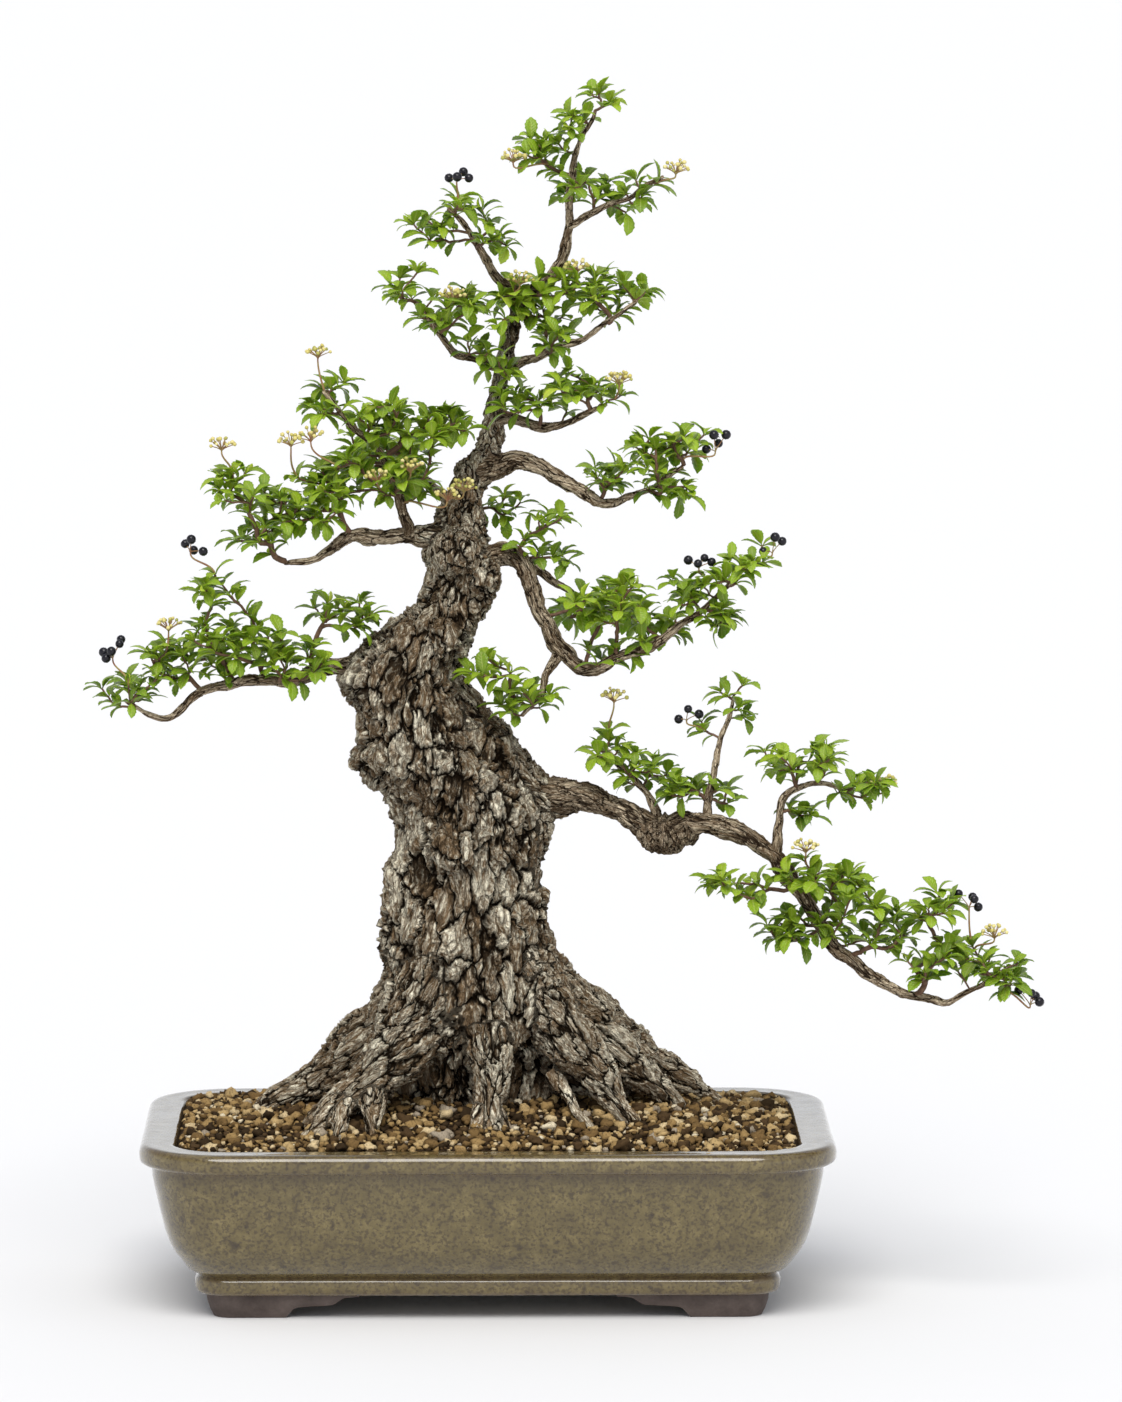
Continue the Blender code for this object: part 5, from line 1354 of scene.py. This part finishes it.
def grow_leaves(curve, thick, rng, leaves):
    """A rosette at the shoot's tip and pairs of leaves back along it."""
    heading = unit(curve[-1] - curve[-3])
    side = unit(np.cross(heading, np.array([0.3, 1.0, 0.2])))
    other = np.cross(heading, side)
    turn = rng.uniform(0, 2 * math.pi)
    sky = np.array([0.0, 0.0, 1.0])
    whorl = int(rng.integers(3, 6))
    for k in range(whorl):
        angle = turn + 2 * math.pi * k / whorl + rng.normal(0, 0.25)
        ray = math.cos(angle) * side + math.sin(angle) * other
        head = unit(ray * np.array([1.0, 0.75, 0.6]) + heading * rng.uniform(0.2, 0.7) + sky * 0.30)
        up = unit(sky + heading * 0.15 + ray * 0.1 + rng.normal(0, 0.14, 3))
        leaves.append((curve[-1] + ray * 0.0005, head, up, rng.uniform(*ROSETTE_LEAF)))
    if rng.random() < 0.6:
        for flip in (1, -1):
            head = unit(heading + 0.45 * flip * side + sky * 0.3)
            leaves.append((curve[-1] + heading * 0.0004, head, unit(sky - heading * 0.2 + side * flip),
                           rng.uniform(*YOUNG_LEAF)))
    walked, pair = 0.0, 0
    for k in range(len(curve) - 2, 1, -1):
        walked += np.linalg.norm(curve[k + 1] - curve[k])
        if walked > 0.026 or thick[k] > 0.0012:
            break
        if walked < 0.0042 * (pair + 1):
            continue
        pair += 1
        angle = turn + 1.57 * pair
        for flip in (0, math.pi):
            if rng.random() < 0.22:
                continue
            ray = math.cos(angle + flip) * side + math.sin(angle + flip) * other
            head = unit(ray + heading * 0.5 + sky * 0.30)
            leaves.append((curve[k] + ray * 0.0005, head, unit(sky + rng.normal(0, 0.22, 3)),
                           rng.uniform(*PAIR_LEAF)))


# ---------------------------------------------------------------- flowers and berries
def nearest_wood(spot, wood):
    cost = np.linalg.norm(wood[:, :3] - spot, axis=1) + 2.0 * np.maximum(wood[:, 2] - spot[2] + 0.006, 0)
    return wood[np.argmin(cost)]


def make_cluster(kind, index, head, nodes, wood, material, stalk_material):
    """Buds or berries on fine pedicels at the head of one stalk."""
    rng = np.random.default_rng(CLUSTER_SEED + index * 7 + (0 if kind == "flowers" else 400))
    head = np.array(head)
    root = nearest_wood(head - np.array([0, 0, 0.004]), wood)
    fork = head - np.array([0, 0, 0.0045])
    reach = np.linalg.norm(fork - root[:3])
    curve = bezier(root[:3], root[:3] + unit(root[4:7] + np.array([0, 0, 1.0])) * reach * 0.4,
                   fork - np.array([0, 0, 0.3 * reach]), fork, 12)
    stalks, balls = Pile(), Pile()
    stalks.add(*tube(curve + ORIGIN, np.linspace(0.0007, 0.0005, 12), 7)[:2])
    points, tris = icosphere(2)
    flowers = kind == "flowers"
    number = int(rng.integers(13, 20)) if flowers else int(rng.integers(3, 6))
    for k in range(number):
        angle = k * 2.4 + rng.uniform(-0.3, 0.3)
        ray = np.array([math.cos(angle), math.sin(angle), 0.0])
        if flowers:
            spread = 0.0015 + 0.0068 * math.sqrt((k + 0.5) / number)
            dome = 0.0042 - 70.0 * spread ** 2 + rng.uniform(-0.001, 0.0015)
            spot = head + ray * spread + np.array([0, 0, dome])
            r = rng.uniform(*BUD_RADIUS)
        else:
            spot = head + ray * rng.uniform(0.004, 0.0085) + np.array([0, 0, rng.uniform(-0.004, 0.007)])
            r = rng.uniform(*BERRY_RADIUS)
        stem = bezier(fork, fork + np.array([0, 0, 0.002]), (spot + fork) / 2 + np.array([0, 0, 0.0008]),
                      spot, 6)
        stalks.add(*tube(stem + ORIGIN, np.linspace(0.00036, 0.00028, 6), 6)[:2])
        if flowers:
            petals = np.cos(5 * np.arctan2(points[:, 1], points[:, 0]))
            shape = points * (1 + 0.16 * petals * (1 - points[:, 2] ** 2))[:, None]
        else:
            shape = points * (1 - 0.10 * np.exp(-((points[:, 2] - 1) / 0.12) ** 2))[:, None]
        balls.add((shape @ random_rotation(rng).T) * r + spot + ORIGIN, tris, tone=rng.random())
    obj = balls.make("%s_%02d" % (kind, index), material)
    keep(obj, "flower_cream" if flowers else "berry_black", *nodes)
    keep(stalks.make("%s_stalks_%02d" % (kind, index), stalk_material), "bark_smooth")


# ---------------------------------------------------------------- stage
def make_stage():
    """A plain pale floor that runs on to the horizon."""
    bm = bmesh.new()
    bmesh.ops.create_grid(bm, x_segments=2, y_segments=2, size=FLOOR_SIZE)
    mesh = bpy.data.meshes.new("floor")
    bm.to_mesh(mesh)
    bm.free()
    floor = bpy.data.objects.new("floor", mesh)
    bpy.context.scene.collection.objects.link(floor)
    mesh.materials.append(Nodes("floor_paper").finish(FLOOR_COLOUR, 0.9, None, 0.1))


def sun(name, direction, power, spread, colour):
    """A broad, even light from a direction given as the way it comes from."""
    light = bpy.data.lights.new(name, "SUN")
    light.energy = power
    light.angle = math.radians(spread)
    light.color = colour
    obj = bpy.data.objects.new(name, light)
    obj.rotation_mode = "QUATERNION"
    obj.rotation_quaternion = Vector(direction).to_track_quat("Z", "Y")
    obj.location = Vector(direction) * 3
    bpy.context.scene.collection.objects.link(obj)


def make_light():
    """A white sweep round the horizon, dimmer overhead, with a broad key from the front."""
    world = bpy.data.worlds.new("studio")
    bpy.context.scene.world = world
    world.use_nodes = True
    n = Nodes("", world.node_tree)
    back = world.node_tree.nodes["Background"]
    height = n.part(n.new("ShaderNodeTexCoord").outputs["Generated"], 2)
    level = n.ramp(height, [(0.0, (0.96, 0.975, 1.0)), (0.20, (0.92, 0.94, 0.98)),
                            (0.45, (0.38, 0.395, 0.43)), (1.0, (0.34, 0.355, 0.39))])
    n.link(level, back.inputs["Color"])
    back.inputs["Strength"].default_value = 1.0
    for lamp in SUNS:
        sun(*lamp)


def make_camera():
    """The photograph's view: five metres in front of the pot, looking a little down and right."""
    data = bpy.data.cameras.new("camera")
    data.sensor_width = 36.0
    data.lens = CAMERA_LENS
    data.clip_end = 200.0
    camera = bpy.data.objects.new("camera", data)
    camera.location = (POT_MID[0] - CAMERA_SHIFT, POT_MID[1] - CAMERA_BACK, CAMERA_HEIGHT)
    camera.rotation_euler = (math.radians(90) - CAMERA_DIP, 0.0, -CAMERA_TURN)
    bpy.context.scene.collection.objects.link(camera)
    bpy.context.scene.camera = camera


def main():
    bpy.context.scene.view_settings.view_transform = "Standard"
    make_camera()
    make_light()
    make_stage()
    make_pot(glaze_material())
    make_feet(clay_material())
    make_soil(soil_material("soil", False), soil_material("soil_gap_shade", True))
    craggy = bark_material("bark", BARK_LIGHT, BARK_MIDDLE, BARK_CRACK_SHADE, 0.50)
    young = bark_material("bark_young", YOUNG_LIGHT, YOUNG_MIDDLE, YOUNG_CRACK_SHADE, 0.40)
    make_trunk(craggy)
    for index, (name, path) in enumerate(STEMS.items()):
        make_branch("branch_" + name[5:], name, path, young, 3.0 + index * 1.7)
    stems = dense_stems()
    leaf, twig = leaf_material(), twig_material()
    sprays = [make_spray(name, tufts, stems, leaf, twig, SPRAY_SEED + index)
              for index, (name, tufts) in enumerate(LEAF_PADS.items())]
    wood = np.concatenate([stems] + sprays)
    flower, berry, pedicel = flower_material(), berry_material(), pedicel_material()
    for kind, heads, nodes, look in (("flowers", FLOWERS, FLOWER_NODES, flower),
                                     ("berries", BERRIES, BERRY_NODES, berry)):
        for index, head in enumerate(heads):
            make_cluster(kind, index, head, nodes[index:index + 1], wood, look, pedicel)
    plastic, wire = plastic_material(), wire_material()
    for side in ("left", "right"):
        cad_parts["drain_screen_" + side].material_slots[0].material = plastic
        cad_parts["screen_clip_" + side].material_slots[0].material = wire


main()
